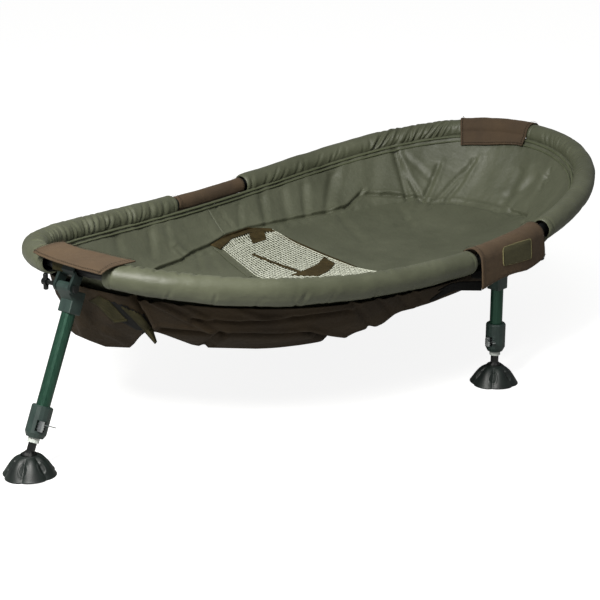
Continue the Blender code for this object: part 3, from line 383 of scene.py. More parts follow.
def bend_at_fold(piece):
    """Bake a half of the sling's transform into its mesh; nothing makes it bend."""
    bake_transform(piece)


# The hoop tube's centre line: an oval in plan, fuller towards one end, that rises to both ends
HOOP_HALF_LENGTH = 0.624
HOOP_HALF_WIDTH = 0.351
HOOP_FULLNESS = (0.058, 0.086)
HOOP_WAIST_Z = 0.235
HOOP_END_RISE = 0.069


def hoop_place(angles):
    """Centres of the hoop tube at angles in degrees."""
    a = np.radians(np.asarray(angles, dtype=float))
    x = HOOP_HALF_LENGTH * np.cos(a)
    y = HOOP_HALF_WIDTH * np.sin(a) * (1 + HOOP_FULLNESS[0] * np.cos(a) + HOOP_FULLNESS[1] * np.cos(2 * a))
    return np.stack([x, y, HOOP_WAIST_Z + HOOP_END_RISE * np.cos(a) ** 2], axis=-1)


def hoop_axes(angles):
    """Along, outward and upward directions of the hoop."""
    angles = np.asarray(angles, dtype=float)
    along = hoop_place(angles + 0.5) - hoop_place(angles - 0.5)
    along /= np.linalg.norm(along, axis=-1, keepdims=True)
    outward = np.cross(along, (0, 0, 1.0))
    outward /= np.linalg.norm(outward, axis=-1, keepdims=True)
    return along, outward, np.cross(outward, along)


def lengths_along(points):
    """Running length over a line of points."""
    return np.concatenate([[0], np.cumsum(np.linalg.norm(np.diff(points, axis=0), axis=1))])


def nearest_on_line(seen, line):
    """Distance of pixels from a line of pixels, with the side that they are on."""
    line = np.asarray(line, dtype=float)
    best = np.full(len(seen), 1e9)
    side = np.zeros(len(seen))
    for a, b in zip(line[:-1], line[1:]):
        run = b - a
        size = np.hypot(*run)
        t = np.clip(((seen - a) @ run) / size ** 2, 0, 1)
        gap = seen - a - t[:, None] * run
        far = np.hypot(gap[:, 0], gap[:, 1])
        nearer = far < best
        best[nearer] = far[nearer]
        side[nearer] = ((gap[:, 0] * run[1] - gap[:, 1] * run[0]) / size)[nearer]
    return best, side


# The raised side of a fold: its height as a share of the fold's depth, and its place and end in half widths
RIDGE_SHARE = 0.32
RIDGE_AWAY = 1.7
RIDGE_END = 4.5


def fold_depths(points, folds):
    """Depth of folds at points; a fold is a line of pixels, its half width in pixels and its depth in mm."""
    seen = seen_at(points)
    total = np.zeros(len(points))
    for line, width, depth in folds:
        far, side = nearest_on_line(seen, line)
        valley = np.exp(-(far / width) ** 2)
        beside = np.exp(-((side / width - RIDGE_AWAY) ** 2))
        ridge = RIDGE_SHARE * beside * np.exp(-np.clip(far / width - 3.0, 0, 9) ** 2)
        ridge[far > RIDGE_END * width] = 0
        total += depth * MM * (valley - ridge)
    return total


# Padded sleeves

SLEEVE_SIDES = 72
SLEEVE_PITCH = 1.9 * MM
SEAM_FROM_END = 12 * MM
# The turned in end of a sleeve, as shares of its girth and depths in mm, and the ring where the painted black
# shade of its hollow starts
SLEEVE_END = ((0.95, -0.4), (0.9, 0.8), (0.86, 6.0), (0.84, 22.0), (0.52, 23.0))
PAINTED_SHADE_RING = 2


def pleats_in(source, zones):
    """Pleats scattered over zones of the sleeve, as SLEEVES lists them."""
    out = []
    for first, last, count, middle, spread, depth, lean in zones:
        for k in range(count):
            spot = first + (last - first) * (k + source.uniform(0.15, 0.85)) / count
            out.append((spot, source.uniform(2.4, 4.2) * MM, middle + source.uniform(-18, 18),
                        spread * source.uniform(0.7, 1.15), depth * MM * source.uniform(0.5, 1.15),
                        lean + source.uniform(-0.8, 0.8)))
    return out


def make_sleeve(name, node, span, radius, zones, seed):
    """A padded sleeve: a soft tube with gathers, a sewn ring near each end, and painted black shade deep in
    its ends.
    """
    source = random.Random(seed)
    rough = hoop_place(np.linspace(*span, 400))
    count = int(lengths_along(rough)[-1] / SLEEVE_PITCH)
    angles = np.linspace(*span, count)
    centres = hoop_place(angles)
    along, outward, upward = hoop_axes(angles)
    lengths = lengths_along(centres)
    phi = np.arange(SLEEVE_SIDES) * 360.0 / SLEEVE_SIDES
    grid_phi, grid_length = np.meshgrid(phi, lengths)
    grid_angle = np.repeat(angles[:, None], SLEEVE_SIDES, axis=1)
    r = radius(grid_angle, grid_phi)
    turn = np.radians(grid_phi)
    spots = np.stack([grid_length, np.cos(turn) * 0.03, np.sin(turn) * 0.03], axis=-1).reshape(-1, 3)
    r = r + (1.3 * MM * drift(spots, 0.05, seed) + 0.5 * MM * drift(spots, 0.017, seed + 3)).reshape(r.shape)
    per_degree = lengths[-1] / (span[1] - span[0])
    for spot, width, middle, spread, depth, lean in pleats_in(source, zones):
        off = (grid_phi - middle + 180.0) % 360.0 - 180.0
        gap = (grid_angle - spot - lean * off / 60.0) * per_degree
        window = np.exp(-(off / spread) ** 4)
        valley = np.exp(-np.sqrt(gap ** 2 + (0.8 * MM) ** 2) / width)
        r = r - depth * (valley - 0.35 * np.exp(-((np.abs(gap) - 2.2 * width) / width) ** 2)) * window
    from_end = np.minimum(grid_length, lengths[-1] - grid_length)
    r = r - 2.4 * MM * np.clip(1 - from_end / (7 * MM), 0, 1) ** 2
    r = r - 1.5 * MM * np.exp(-((from_end - SEAM_FROM_END) / (1.3 * MM)) ** 2)
    points = (centres[:, None] + outward[:, None] * (r * np.cos(turn))[..., None]
              + upward[:, None] * (r * np.sin(turn))[..., None])
    uvs = np.stack([grid_length, r * turn], axis=-1).reshape(-1, 2)
    points, uvs = list(points.reshape(-1, 3)), [tuple(u) for u in uvs]
    faces = grid_faces(count, SLEEVE_SIDES, around=True)
    cloth_faces = len(faces)
    for row, direction in ((0, 1), (count - 1, -1)):
        previous = [row * SLEEVE_SIDES + k for k in range(SLEEVE_SIDES)]
        edge = np.array([points[k] for k in previous]) - centres[row]
        for share, depth in SLEEVE_END:
            current = list(range(len(points), len(points) + SLEEVE_SIDES))
            points += list(centres[row] + edge * share + along[row] * (direction * depth * MM))
            uvs += [(uvs[k][0] + depth * MM, uvs[k][1]) for k in previous]
            for k in range(SLEEVE_SIDES):
                n = (k + 1) % SLEEVE_SIDES
                faces.append((previous[k], previous[n], current[n], current[k]))
            previous = current
        faces.append(tuple(previous))
    piece = add_piece(name, points, faces, SLEEVE_NYLON, uvs)
    # Painted shade: the inner rings of each end take this black second material, for the shade inside the
    # hollow
    piece.data.materials.append(PAINTED_SHADE_BLACK)
    kinds = np.zeros(len(faces), dtype=np.int32)
    per_end = len(SLEEVE_END) * SLEEVE_SIDES + 1
    for start in (cloth_faces, cloth_faces + per_end):
        kinds[start + PAINTED_SHADE_RING * SLEEVE_SIDES:start + per_end] = 1
    piece.data.polygons.foreach_set("material_index", kinds)
    turn_out(piece)
    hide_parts(node)
    return piece


def plain_radius(base):
    """A sleeve's girth: a little deeper below than above."""
    return lambda angle, phi: base * (1 + 0.03 * np.cos(np.radians(phi - 300)))


def drooping_radius(angle, phi):
    """The front sleeve is fuller at its left end, and droops near its middle."""
    droop = np.exp(-((angle - 222.0) / 16.0) ** 2)
    below = np.clip(-np.sin(np.radians(phi) + 0.35), 0, None)
    left = np.exp(-((angle - 203.0) / 12.0) ** 2)
    return (20.0 + 0.8 * left + 4.5 * droop * below) * MM


# Name, node, body (both where it spans the fold and is left unattached), span in degrees, girth, and the
# zones of pleats. A zone is its first and last angle, the number of pleats, their middle and spread round the
# girth in degrees, their depth in mm, and their lean.
SLEEVES = (
    ("sleeve_rear_left", "sleeve_left_rear", "left_frame", (97.6, 172.4), plain_radius(20.4 * MM),
     ((101, 148, 19, 165, 62, 4.2, 0.6), (144, 170, 8, 150, 60, 3.4, 0.8), (118, 162, 9, 95, 45, 2.4, 0.9))),
    ("sleeve_front_left", "sleeve_left_front", "both", (190.9, 268.0), drooping_radius,
     ((193, 214, 8, 110, 32, 3.0, 0.8), (214, 262, 10, 108, 30, 2.0, 0.8), (204, 262, 8, -60, 50, 2.2, 0.4))),
    ("sleeve_front_right", "sleeve_right_front", "right_frame", (289.3, 356.5), plain_radius(20.0 * MM),
     ((316, 350, 13, 165, 55, 2.2, -0.6), (325, 345, 5, 90, 40, 1.8, -0.6), (292, 316, 4, 90, 40, 1.0, 0))),
    ("sleeve_rear_right", "sleeve_right_rear", "right_frame", (12.5, 79.0), plain_radius(20.0 * MM),
     ((22, 44, 15, 160, 80, 4.6, 2.2), (44, 79, 12, 185, 50, 2.2, 1.2), (13, 22, 3, 160, 60, 1.2, 1.5))),
)


def make_sleeves():
    """The four padded sleeves round the hoop, each attached to its body; the front left one, which spans the
    fold, is left unattached.
    """
    for seed, (name, node, body, span, radius, zones) in enumerate(SLEEVES, 1):
        piece = make_sleeve(name, node, span, radius, zones, seed)
        if body == "both":
            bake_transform(piece)
        else:
            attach(piece, body)


make_sleeves()


# Liner

# The floor, and the middle of the wall, as shares of the hoop's length and width
FLOOR_LONG, FLOOR_WIDE = 0.82, 0.70
WALL_LONG, WALL_WIDE = (1 + FLOOR_LONG) / 2, (1 + FLOOR_WIDE) / 2
FLOOR_MIDDLE_Z = 130 * MM
# The innermost ring of the floor, as a share of its plan
FLOOR_CENTRE_SHARE = 0.004
# How far the bag starts below the liner
LINER_WALL = 8 * MM
SHELL_COLUMNS = 600
# How far the liner's rim and the middle of its wall stand inwards of the hoop, and its rim below it
RIM_PUSH = -18.5 * MM
WALL_PUSH = -9.25 * MM
RIM_DROP = 8 * MM
WALL_HOLLOW = 9 * MM


def floor_edge(angles):
    """Height of the edge between wall and floor, which lifts towards both ends."""
    c = np.cos(np.radians(angles))
    return (158 + np.where(c > 0, 15, 44) * c ** 2) * MM


def shell_rows(angles, walls, floors, rim_push=RIM_PUSH, wall_push=WALL_PUSH, drop=0):
    """Rows of points of the sling: down the wall at shares of it, and in over the floor at shares of it."""
    spot = hoop_place(angles)
    outward = hoop_axes(angles)[1]
    edge = floor_edge(angles)
    high = spot + outward * rim_push
    high[:, 2] = spot[:, 2] - RIM_DROP - drop
    middle = np.stack([FOLD_X + (spot[:, 0] - FOLD_X) * WALL_LONG, spot[:, 1] * WALL_WIDE,
                       (spot[:, 2] - RIM_DROP + edge) / 2 - WALL_HOLLOW - drop], axis=1)
    middle[:, :2] += outward[:, :2] * wall_push
    low_x = FOLD_X + (spot[:, 0] - FOLD_X) * FLOOR_LONG
    low = np.stack([low_x, spot[:, 1] * FLOOR_WIDE, edge - drop], axis=1)
    rows = []
    for t in walls:
        rows.append(2 * (t - 0.5) * (t - 1) * high - 4 * t * (t - 1) * middle + 2 * t * (t - 0.5) * low)
    for share in floors:
        height = FLOOR_MIDDLE_Z + (edge - FLOOR_MIDDLE_Z) * share ** 2.4 - drop
        rows.append(np.stack([FOLD_X + (low[:, 0] - FOLD_X) * share, low[:, 1] * share, height], axis=1))
    return np.array(rows)


def softened(rows, times):
    """Ease the turn from wall to floor, leaving the first and last rows."""
    for _ in range(times):
        rows[1:-1] = (rows[:-2] + 2 * rows[1:-1] + rows[2:]) / 4
    return rows


def shell_points(walls, floors, passes, **shape):
    """A shell's points, with their levels, inward directions, places on the hoop and lengths round it."""
    angles = np.linspace(0, 360, SHELL_COLUMNS, endpoint=False)
    rows = softened(shell_rows(angles, walls, floors, **shape), passes)
    spot = hoop_place(angles)
    run = lengths_along(np.vstack([spot, spot[:1]]))[:-1]
    level = np.repeat(np.concatenate([walls, 1 + (1 - floors)]), SHELL_COLUMNS)
    times = (len(rows), 1)
    inward = -np.tile(hoop_axes(angles)[1], times)
    return rows.reshape(-1, 3), level, inward, np.tile(spot, times), np.tile(run, len(rows))


def add_shell(name, points, material, uvs):
    """A shell's piece, whose columns go all round the hoop."""
    faces = grid_faces(len(points) // SHELL_COLUMNS, SHELL_COLUMNS, around=True)
    return add_piece(name, points, faces, material, uvs)


# The seam round the floor and the creases of the wall, as the photograph shows them. Each crease is a line of
# pixels, its half width in pixels and its depth in mm.
FLOOR_SEAM = ((150, 273), (158, 269), (183, 260), (192, 253), (211, 245), (226, 236), (247, 229), (274, 223),
              (304, 217), (333, 211), (349, 206), (361, 194), (383, 194.5), (401, 195.5), (419, 197),
              (423, 201), (459, 202), (477, 205), (495, 209), (513, 212), (529, 217))
LINER_FOLDS = (
    (FLOOR_SEAM, 1.5, 5.6),
    (((217, 207), (226, 218), (235.5, 229)), 1.1, 2.4),
    (((395, 151), (402, 176), (408, 199)), 2.6, 6.5),
    (((399, 158), (408, 178), (421, 199)), 2.3, 5.0),
    (((398, 150), (416, 165), (430, 178)), 3.0, 2.5),
    (((438, 166), (431, 184), (424, 199)), 2.4, 5.5),
    (((474, 160), (462, 180), (447, 199)), 2.6, 4.5),
    (((466, 169), (452, 183), (439, 198)), 2.4, 3.4),
    (((520, 172), (510, 192), (498, 210)), 4.0, 3.6),
    (((333, 176), (330, 192), (328, 209)), 4.5, 5.0),
    (((363, 190), (355, 198), (347, 207)), 1.8, 4.2),
    (((383, 194), (391, 193), (400, 196)), 1.4, 3.0),
    (((577, 168), (567, 163), (553, 168), (545, 177)), 2.0, 5.5),
    (((545, 177), (541, 184), (539, 190)), 2.4, 3.0),
    (((505, 196), (522, 190), (536, 178)), 3.0, 2.2),
    (((176, 247), (181, 252), (186, 257)), 1.5, 3.2),
    (((262, 198), (264, 210), (267, 222)), 3.2, 3.4),
    (((283, 192), (285, 205), (288, 217)), 3.4, 2.0),
    (((239, 206), (240, 216), (240, 227)), 2.8, 1.8),
    (((304, 186), (305, 200), (306, 213)), 3.4, 3.2),
    (((150, 232), (152, 243), (153, 254)), 3.6, 2.4),
    (((166, 228), (169, 240), (172, 250)), 3.2, 1.8),
    (((118, 240), (120, 252), (124, 262)), 4.0, 1.8),
    (((197, 253), (199, 260), (201, 268)), 2.4, 2.2),
    (((430, 205), (415, 214), (398, 224)), 3.6, 2.6),
    (((338, 214), (349, 227), (362, 240)), 3.6, 2.2),
    (((400, 208), (406, 216), (412, 226)), 3.2, 2.0),
    (((455, 236), (490, 224), (522, 212)), 4.5, 2.0),
    (((210, 253), (214, 264), (219, 272)), 3.0, 1.4),
)
# What the listed depths are multiplied by
LINER_FOLD_SCALE = 1.35
PADDED_FLOOR_RISE = 4.0 * MM
# The front sleeve hides the liner below this row of the photograph, and in front of this place
FRONT_SLEEVE_ROW = 272
HIDDEN_FRONT_Y = -0.12


def make_liner():
    """The padded liner: walls with soft dents, a sewn floor, and the creases seen in the photograph."""
    walls = np.linspace(0, 1, 46)
    floors = np.linspace(1, FLOOR_CENTRE_SHARE, 66)[1:]
    points, level, inward, place, run = shell_points(walls, floors, 3)
    on_wall = level <= 1
    share = np.where(on_wall, level, 0)
    dents = drift(np.column_stack([place[:, 0], place[:, 1], level * 0.03]), 0.042, 2)
    lumps = drift(points, 0.11, 5)
    soft = on_wall * np.sin(np.pi * share) ** 0.6 * (3.4 * MM * dents + 3.0 * MM * lumps)
    pucker = drift(np.column_stack([place[:, 0], place[:, 1], level * 0.01]), 0.016, 9)
    near_seams = np.exp(-(share / 0.14) ** 2) + 1.2 * np.exp(-((1 - share) / 0.16) ** 2)
    soft += on_wall * near_seams * 2.2 * MM * pucker
    points = points + inward * soft[:, None] + np.array([0, 0, 0.5]) * soft[:, None]
    out = np.clip(level - 1, 0, 1)
    pad = np.where(on_wall, 0, PADDED_FLOOR_RISE * (1 - np.exp(-out / 0.06)))
    pad += np.where(on_wall, 0, 1.6 * MM * drift(points, 0.13, 12) + 0.9 * MM * np.exp(-out / 0.12) * pucker)
    points[:, 2] += pad
    hidden = (seen_at(points)[:, 1] > FRONT_SLEEVE_ROW) | (points[:, 1] < HIDDEN_FRONT_Y)
    plain_seam = np.exp(-((level - 1.0) / 0.02) ** 2) * 3.0 * MM
    depth = LINER_FOLD_SCALE * np.where(hidden, plain_seam, fold_depths(points, LINER_FOLDS))
    points = points - inward * (depth * np.where(on_wall, 0.8, 0.15))[:, None]
    points[:, 2] -= depth * np.where(on_wall, 0.55, 1.0)
    across = np.where(on_wall, run, points[:, 0])
    down = np.where(on_wall, share * 0.12, points[:, 1])
    return add_shell("liner", points, LINER_NYLON, np.column_stack([across, down]))


def finish_shell(piece, node, thickness):
    """Cut a shell at the fold, give both halves thickness, and hide the CAD nodes that they replace."""
    for side, half in split_at_fold(piece).items():
        thickened(half, thickness)
        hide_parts(node + side)
        bend_at_fold(half)


liner = make_liner()
LINER_SURFACE = surface_of(liner)
finish_shell(liner, "liner_", 4.5 * MM)


PIPING_SIDES = 8


def make_piping(level, radius, name):
    """A covered cord sewn round the liner, just under its rim."""
    angles = np.linspace(0, 360, SHELL_COLUMNS, endpoint=False)
    row = shell_rows(angles, [level], [])[0]
    _, outward, upward = hoop_axes(angles)
    points, uvs = [], []
    for k, centre in enumerate(row):
        for n in range(PIPING_SIDES):
            turn = 2 * math.pi * n / PIPING_SIDES
            points.append(centre + outward[k] * math.cos(turn) * radius + upward[k] * math.sin(turn) * radius
                          + upward[k] * radius * 0.6 - outward[k] * radius * 0.8)
            uvs.append((k * 4.3 * MM, radius * turn))
    faces = grid_faces(SHELL_COLUMNS, PIPING_SIDES, around=True)
    last = (SHELL_COLUMNS - 1) * PIPING_SIDES
    for n in range(PIPING_SIDES):
        m = (n + 1) % PIPING_SIDES
        faces.append((last + n, last + m, m, n))
    piece = turn_out(add_piece(name, points, faces, PIPING_NYLON, uvs))
    for side, half in split_at_fold(piece).items():
        bend_at_fold(half)


make_piping(0.03, 2.0 * MM, "piping_upper")
make_piping(0.085, 1.6 * MM, "piping_lower")


# Outer bag

# How far the bag hangs below the liner in mm, at levels from its rim to the floor's middle
BAG_LEVELS = (0.15, 0.5, 1.0, 1.25, 1.55)
BAG_LEFT_DROPS = (0.8, 13, 18, 34, 34)
BAG_RIGHT_DROPS = (0.8, 8, 6, 7, 7)
# How far the bag's outside stands off, and the level where it is sewn under the sleeves
BAG_SKIN = 4.0 * MM
BAG_RIM_LEVEL = 0.12
# Place, depth and reach of the left pocket's bulge
POCKET_PLACE = (-0.515, 0.100)
POCKET_DROP, POCKET_REACH = 62 * MM, 95 * MM
BAG_FOLD_SCALE = 1.4
# The way the camera looks, in plan
SIGHT_IN_PLAN = np.array([0.7271, 0.6122, 0.0])
# The bag's creases, listed as the liner's are; a negative depth is a ridge
BAG_FOLDS = (
    (((150, 300), (183, 317), (216, 333)), 1.8, -4.0),
    (((132.6, 296.6), (142, 312), (150, 326), (154, 334)), 2.6, 13.0),
    (((176, 302), (194, 312), (212, 321)), 1.8, -2.5),
    (((192, 320), (240, 323), (282, 320), (350, 311)), 2.0, 5.5),
    (((160, 329), (216, 334), (278, 335), (309, 333), (340, 339)), 2.0, 7.0),
    (((221, 334), (211, 341), (202, 347)), 2.6, 8.0),
    (((309, 333), (326, 338), (350, 340)), 2.6, 7.0),
    (((376, 296), (384, 305), (392, 316)), 2.4, 3.4),
    (((350, 300), (362, 314), (372, 330)), 3.0, 4.0),
    (((395, 292), (400, 298), (406, 306)), 2.2, 3.0),
    (((412, 289), (416, 294), (420, 300)), 2.2, 2.6),
    (((60, 300), (70, 318), (76, 333)), 4.0, 3.0),
    (((104, 330), (120, 338), (132, 346)), 3.0, -3.0),
    (((240, 311), (262, 318), (290, 320)), 2.4, -2.2),
)

# Lowest line of the bag from the camera, with the notch between the left pocket and the main panel
BAG_OUTLINE = np.array((
    (30, 270), (37, 286), (45, 306), (61, 322), (76, 334), (90, 340), (106, 346), (129.5, 347), (134, 343),
    (141.6, 333), (147, 331), (153, 330.5), (160, 332), (176, 338), (192, 344), (208, 347), (296, 349),
    (312, 348), (328, 345), (344, 342), (360, 338), (368, 334), (376, 327), (384, 322), (400, 309),
    (416, 300), (432, 293), (448, 288), (480, 270)))
# The bag is never raised nearer than this to the liner
BAG_CLEARANCE = 3.0 * MM


def outline_rise(points, room):
    """How far to raise points that show below the bag's lowest line, where there is room."""
    seen = seen_at(points)
    below = seen[:, 1] - np.interp(seen[:, 0], BAG_OUTLINE[:, 0], BAG_OUTLINE[:, 1])
    away = (points - np.array(CAMERA_PLACE)) @ np.array(-CAMERA_AXES.col[2])
    rise = below * away / PHOTO_FOCAL / math.sin(CAMERA_TURN[0])
    return np.clip(rise, 0, room)


def bag_drop(points, level):
    """How far the outer bag hangs below the liner's underside at a level."""
    left = np.interp(level, BAG_LEVELS, BAG_LEFT_DROPS)
    right = np.interp(level, BAG_LEVELS, BAG_RIGHT_DROPS)
    way = np.clip((points[:, 0] + 0.2) / 0.3, 0, 1)
    change = way * way * (3 - 2 * way)
    far = np.hypot(points[:, 0] - POCKET_PLACE[0], points[:, 1] - POCKET_PLACE[1]) / POCKET_REACH
    pocket = POCKET_DROP * np.exp(-far ** 2) * np.clip((level - 0.15) / 0.35, 0, 1)
    return (left + (right - left) * change) * MM + pocket


def make_bag():
    """The outer bag, sewn under the sleeves, with the creases that the photograph shows."""
    walls = np.linspace(BAG_RIM_LEVEL, 1, 40)
    floors = np.linspace(1, FLOOR_CENTRE_SHARE, 46)[1:]
    points, level, inward, _, run = shell_points(
        walls, floors, 4, rim_push=8 / 3 * MM + RIM_PUSH, wall_push=8 * MM + WALL_PUSH, drop=LINER_WALL)
    points[:, 2] -= bag_drop(points, level) + BAG_SKIN
    points -= inward * (BAG_SKIN * np.clip(1.6 - level, 0, 1))[:, None]
    steep = np.clip((level - BAG_RIM_LEVEL) / 0.3, 0, 1) * np.clip(1.8 - level, 0, 1)
    swell = 4.5 * MM * drift(points, 0.12, 21) + 2.0 * MM * drift(points, 0.045, 22)
    swell = np.where(swell > 0, swell, swell * 0.5)
    points -= inward * (swell * steep)[:, None]
    near_side = (inward @ SIGHT_IN_PLAN) > -0.3
    depth = np.where(near_side, BAG_FOLD_SCALE * fold_depths(points, BAG_FOLDS), 0)
    points += inward * (depth * 0.9)[:, None]
    points[:, 2] += np.clip(depth, None, 6 * MM) * 0.4
    room = np.clip(bag_drop(points, level) + BAG_SKIN - BAG_CLEARANCE, 0, None)
    points[:, 2] += outline_rise(points, room * np.clip((level - 0.4) / 0.3, 0, 1))
    return add_shell("outer_bag", points, BAG_CLOTH, np.column_stack([run, level * 0.13]))


bag = make_bag()
BAG_SURFACE = surface_of(bag)
finish_shell(bag, "belly_", 1.2 * MM)


# Pieces laid where the photograph shows them

def resampled(line, count):
    """Evenly spaced places on a line."""
    line = np.asarray(line, dtype=float)
    at = lengths_along(line)
    places = np.linspace(0, at[-1], count)
    return np.column_stack([np.interp(places, at, line[:, k]) for k in range(line.shape[1])])


# A ray that lands further than this from its neighbour has missed the surface
LARGEST_STEP = 40.0 * MM
# Points along a strip and along the edges of the net
RIBBON_ROWS = 36
EDGE_POINTS = 12


def laid(tree, seen, lift):
    """Points on a surface behind pixels of the photograph, moved towards the camera by lift."""
    rays = [sight(*spot) for spot in seen]
    hits = [tree.ray_cast(CAMERA_PLACE, ray)[3] for ray in rays]
    start = next(k for k, reach in enumerate(hits) if reach is not None)
    last, last_at, out = hits[start], start, []
    for k, (ray, reach) in enumerate(zip(rays, hits)):
        if reach is not None and abs(reach - last) <= LARGEST_STEP * max(k - last_at, 1):
            last, last_at = reach, k
        out.append(CAMERA_PLACE + ray * (last - lift[k]))
    return out


def make_ribbon(name, tree, one_edge, other_edge, lift, thickness, material, columns=9):
    """A strip of cloth or webbing between two lines of pixels, laid on a surface."""
    first, second = resampled(one_edge, RIBBON_ROWS), resampled(other_edge, RIBBON_ROWS)
    lifts = np.interp(np.linspace(0, 1, RIBBON_ROWS), np.linspace(0, 1, len(lift)), lift)
    lines = [laid(tree, first + (second - first) * share, lifts) for share in np.linspace(0, 1, columns)]
    points = [lines[c][r] for r in range(RIBBON_ROWS) for c in range(columns)]
    run = lengths_along(np.array([tuple(p) for p in lines[columns // 2]]))
    uvs = []
    for r in range(RIBBON_ROWS):
        width = (lines[-1][r] - lines[0][r]).length
        uvs += [(width * c / (columns - 1), run[r]) for c in range(columns)]
    piece = add_piece(name, points, grid_faces(RIBBON_ROWS, columns), material, uvs)
    return thickened(piece, thickness, 0.0)


def cloth_size(piece):
    """Area of a thin piece's one side."""
    return sum(p.area for p in piece.data.polygons) / 2


def declare_strip(piece):
    """Work out the size that a strip was cut to, from its own area and longest way; the size is not kept."""
    area = cloth_size(piece)
    corners = np.array([tuple(v.co) for v in piece.data.vertices])
    middle = corners.mean(axis=0)
    way = np.linalg.svd(corners - middle, full_matrices=False)[2][0]
    length = max(float(np.ptp((corners - middle) @ way)), 0.012)
    width = max(area / length, 0.01)
    if area < 0.31 * width * length:
        length = area / (0.9 * width)


# Drain net: its edges as lines of pixels, and the ends that the front sleeve hides, in plan

NET_BACK = ((221, 248), (231, 238), (247, 233.5), (263, 230), (272, 230))
NET_LEFT_EDGE = ((221, 248), (238, 262), (256, 276.5))
NET_RIGHT_EDGE = ((272, 230), (294, 244), (324, 257), (354, 268.6))
NET_LEFT_END = (-0.057, -0.205)
NET_RIGHT_END = (0.100, -0.205)
NET_ROWS, NET_COLUMNS = 62, 25
NET_THREAD = 2.2 * MM
NET_WOBBLE = 1.1 * MM


def floor_height(x, y):
    """Height of the liner's upper face at a place in plan."""
    hit = LINER_SURFACE.ray_cast(Vector((x, y, 1.0)), Vector((0, 0, -1)))
    return hit[0].z if hit[0] is not None else FLOOR_MIDDLE_Z


# The binding round the net, its sewn tab, and the bound edge that crosses it, with their lifts in mm
NET_TRIMS = (
    ("net_binding_back", ((210.5, 245), (226, 235), (247, 227.5), (272, 228.5)),
     ((221, 249), (232, 238.5), (250, 232.5), (272, 231.5)), BROWN_BINDING, 7.0),
    ("net_binding_right", ((270, 228.5), (297, 242), (327, 255), (357, 267)),
     ((270, 231.5), (294, 244.6), (323, 258), (353, 269.5)), BROWN_BINDING, 4.6),
    ("net_binding_left", ((210.5, 245), (229, 262), (248, 277)), ((213, 244.5), (232, 261), (252, 276.5)),
     LINER_NYLON, 3.0),
    ("net_cross_band", ((324, 257), (318, 264), (304, 270.5), (291, 275)),
     ((335, 263.5), (331, 269), (325, 273), (318, 276)), BROWN_BINDING, 11.0),
    ("net_tab", ((249, 233.5), (263.5, 229.5)), ((252.5, 243.5), (266.5, 239.5)), BROWN_BINDING, 10.0),
    ("net_seam", ((252.5, 253.2), (276, 262.5), (301, 271.2)), ((251.8, 255), (275.4, 264.4), (300, 273)),
     BROWN_BINDING, 8.5),
)


def make_net_trims():
    """Tapes sewn on the net, each cut where it crosses the fold."""
    made = {"left": [], "right": []}
    for name, one_edge, other_edge, material, lift in NET_TRIMS:
        lifts = (lift * MM, lift * MM)
        piece = make_ribbon(name, LINER_SURFACE, one_edge, other_edge, lifts, 1.2 * MM, material)
        for side, half in split_at_fold(piece).items():
            bend_at_fold(half)
            made[side].append(half)
    return made


def net_line(line, count, end=None):
    """Places in plan along an edge of the net, from a line of pixels and a hidden end."""
    places = [tuple(p)[:2] for p in laid(LINER_SURFACE, resampled(line, EDGE_POINTS), [0] * EDGE_POINTS)]
    if end is not None:
        places.append(tuple(Vector(end)))
    return resampled(places, count)


def make_net_piece():
    """The knitted drain net, as threads round open cells, seated on the liner's floor."""
    one = net_line(NET_LEFT_EDGE, NET_ROWS, NET_LEFT_END)
    other = net_line(NET_RIGHT_EDGE, NET_ROWS, NET_RIGHT_END)
    top = net_line(NET_BACK, NET_COLUMNS)
    points, uvs = [], []
    for r in range(NET_ROWS):
        fade = math.exp(-(r / 9.0) ** 2)
        for c in range(NET_COLUMNS):
            share = c / (NET_COLUMNS - 1)
            spot = one[r] + (other[r] - one[r]) * share
            straight = one[0] + (other[0] - one[0]) * share
            x, y = spot + (top[c] - straight) * fade
            y += NET_WOBBLE * (1 if (r + c) % 2 else -1)
            points.append((x, y, floor_height(x, y) + NET_THREAD))
            uvs.append((x, y))
    piece = add_piece("drain_net", points, grid_faces(NET_ROWS, NET_COLUMNS), DRAIN_NET, uvs)
    wire = piece.modifiers.new("threads", "WIREFRAME")
    wire.thickness = NET_THREAD
    wire.use_even_offset = False
    settle(piece)
    trims = make_net_trims()
    for side, half in split_at_fold(piece).items():
        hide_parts("drain_mesh_" + side)
        bend_at_fold(half)


make_net_piece()


# Cloth covers

COVER_CLOTH = 2.0 * MM
HEM = 8 * MM
COVER_ROWS = 46
# Rows of the cloth's grid between its edge and its stitches
STITCH_INSET = 2


def arc_line(radius, first, last, count):
    """Points of an arc as (out, up), between two angles in degrees from outwards."""
    a = np.radians(np.linspace(first, last, count))
    return np.column_stack([radius * np.cos(a), radius * np.sin(a)])


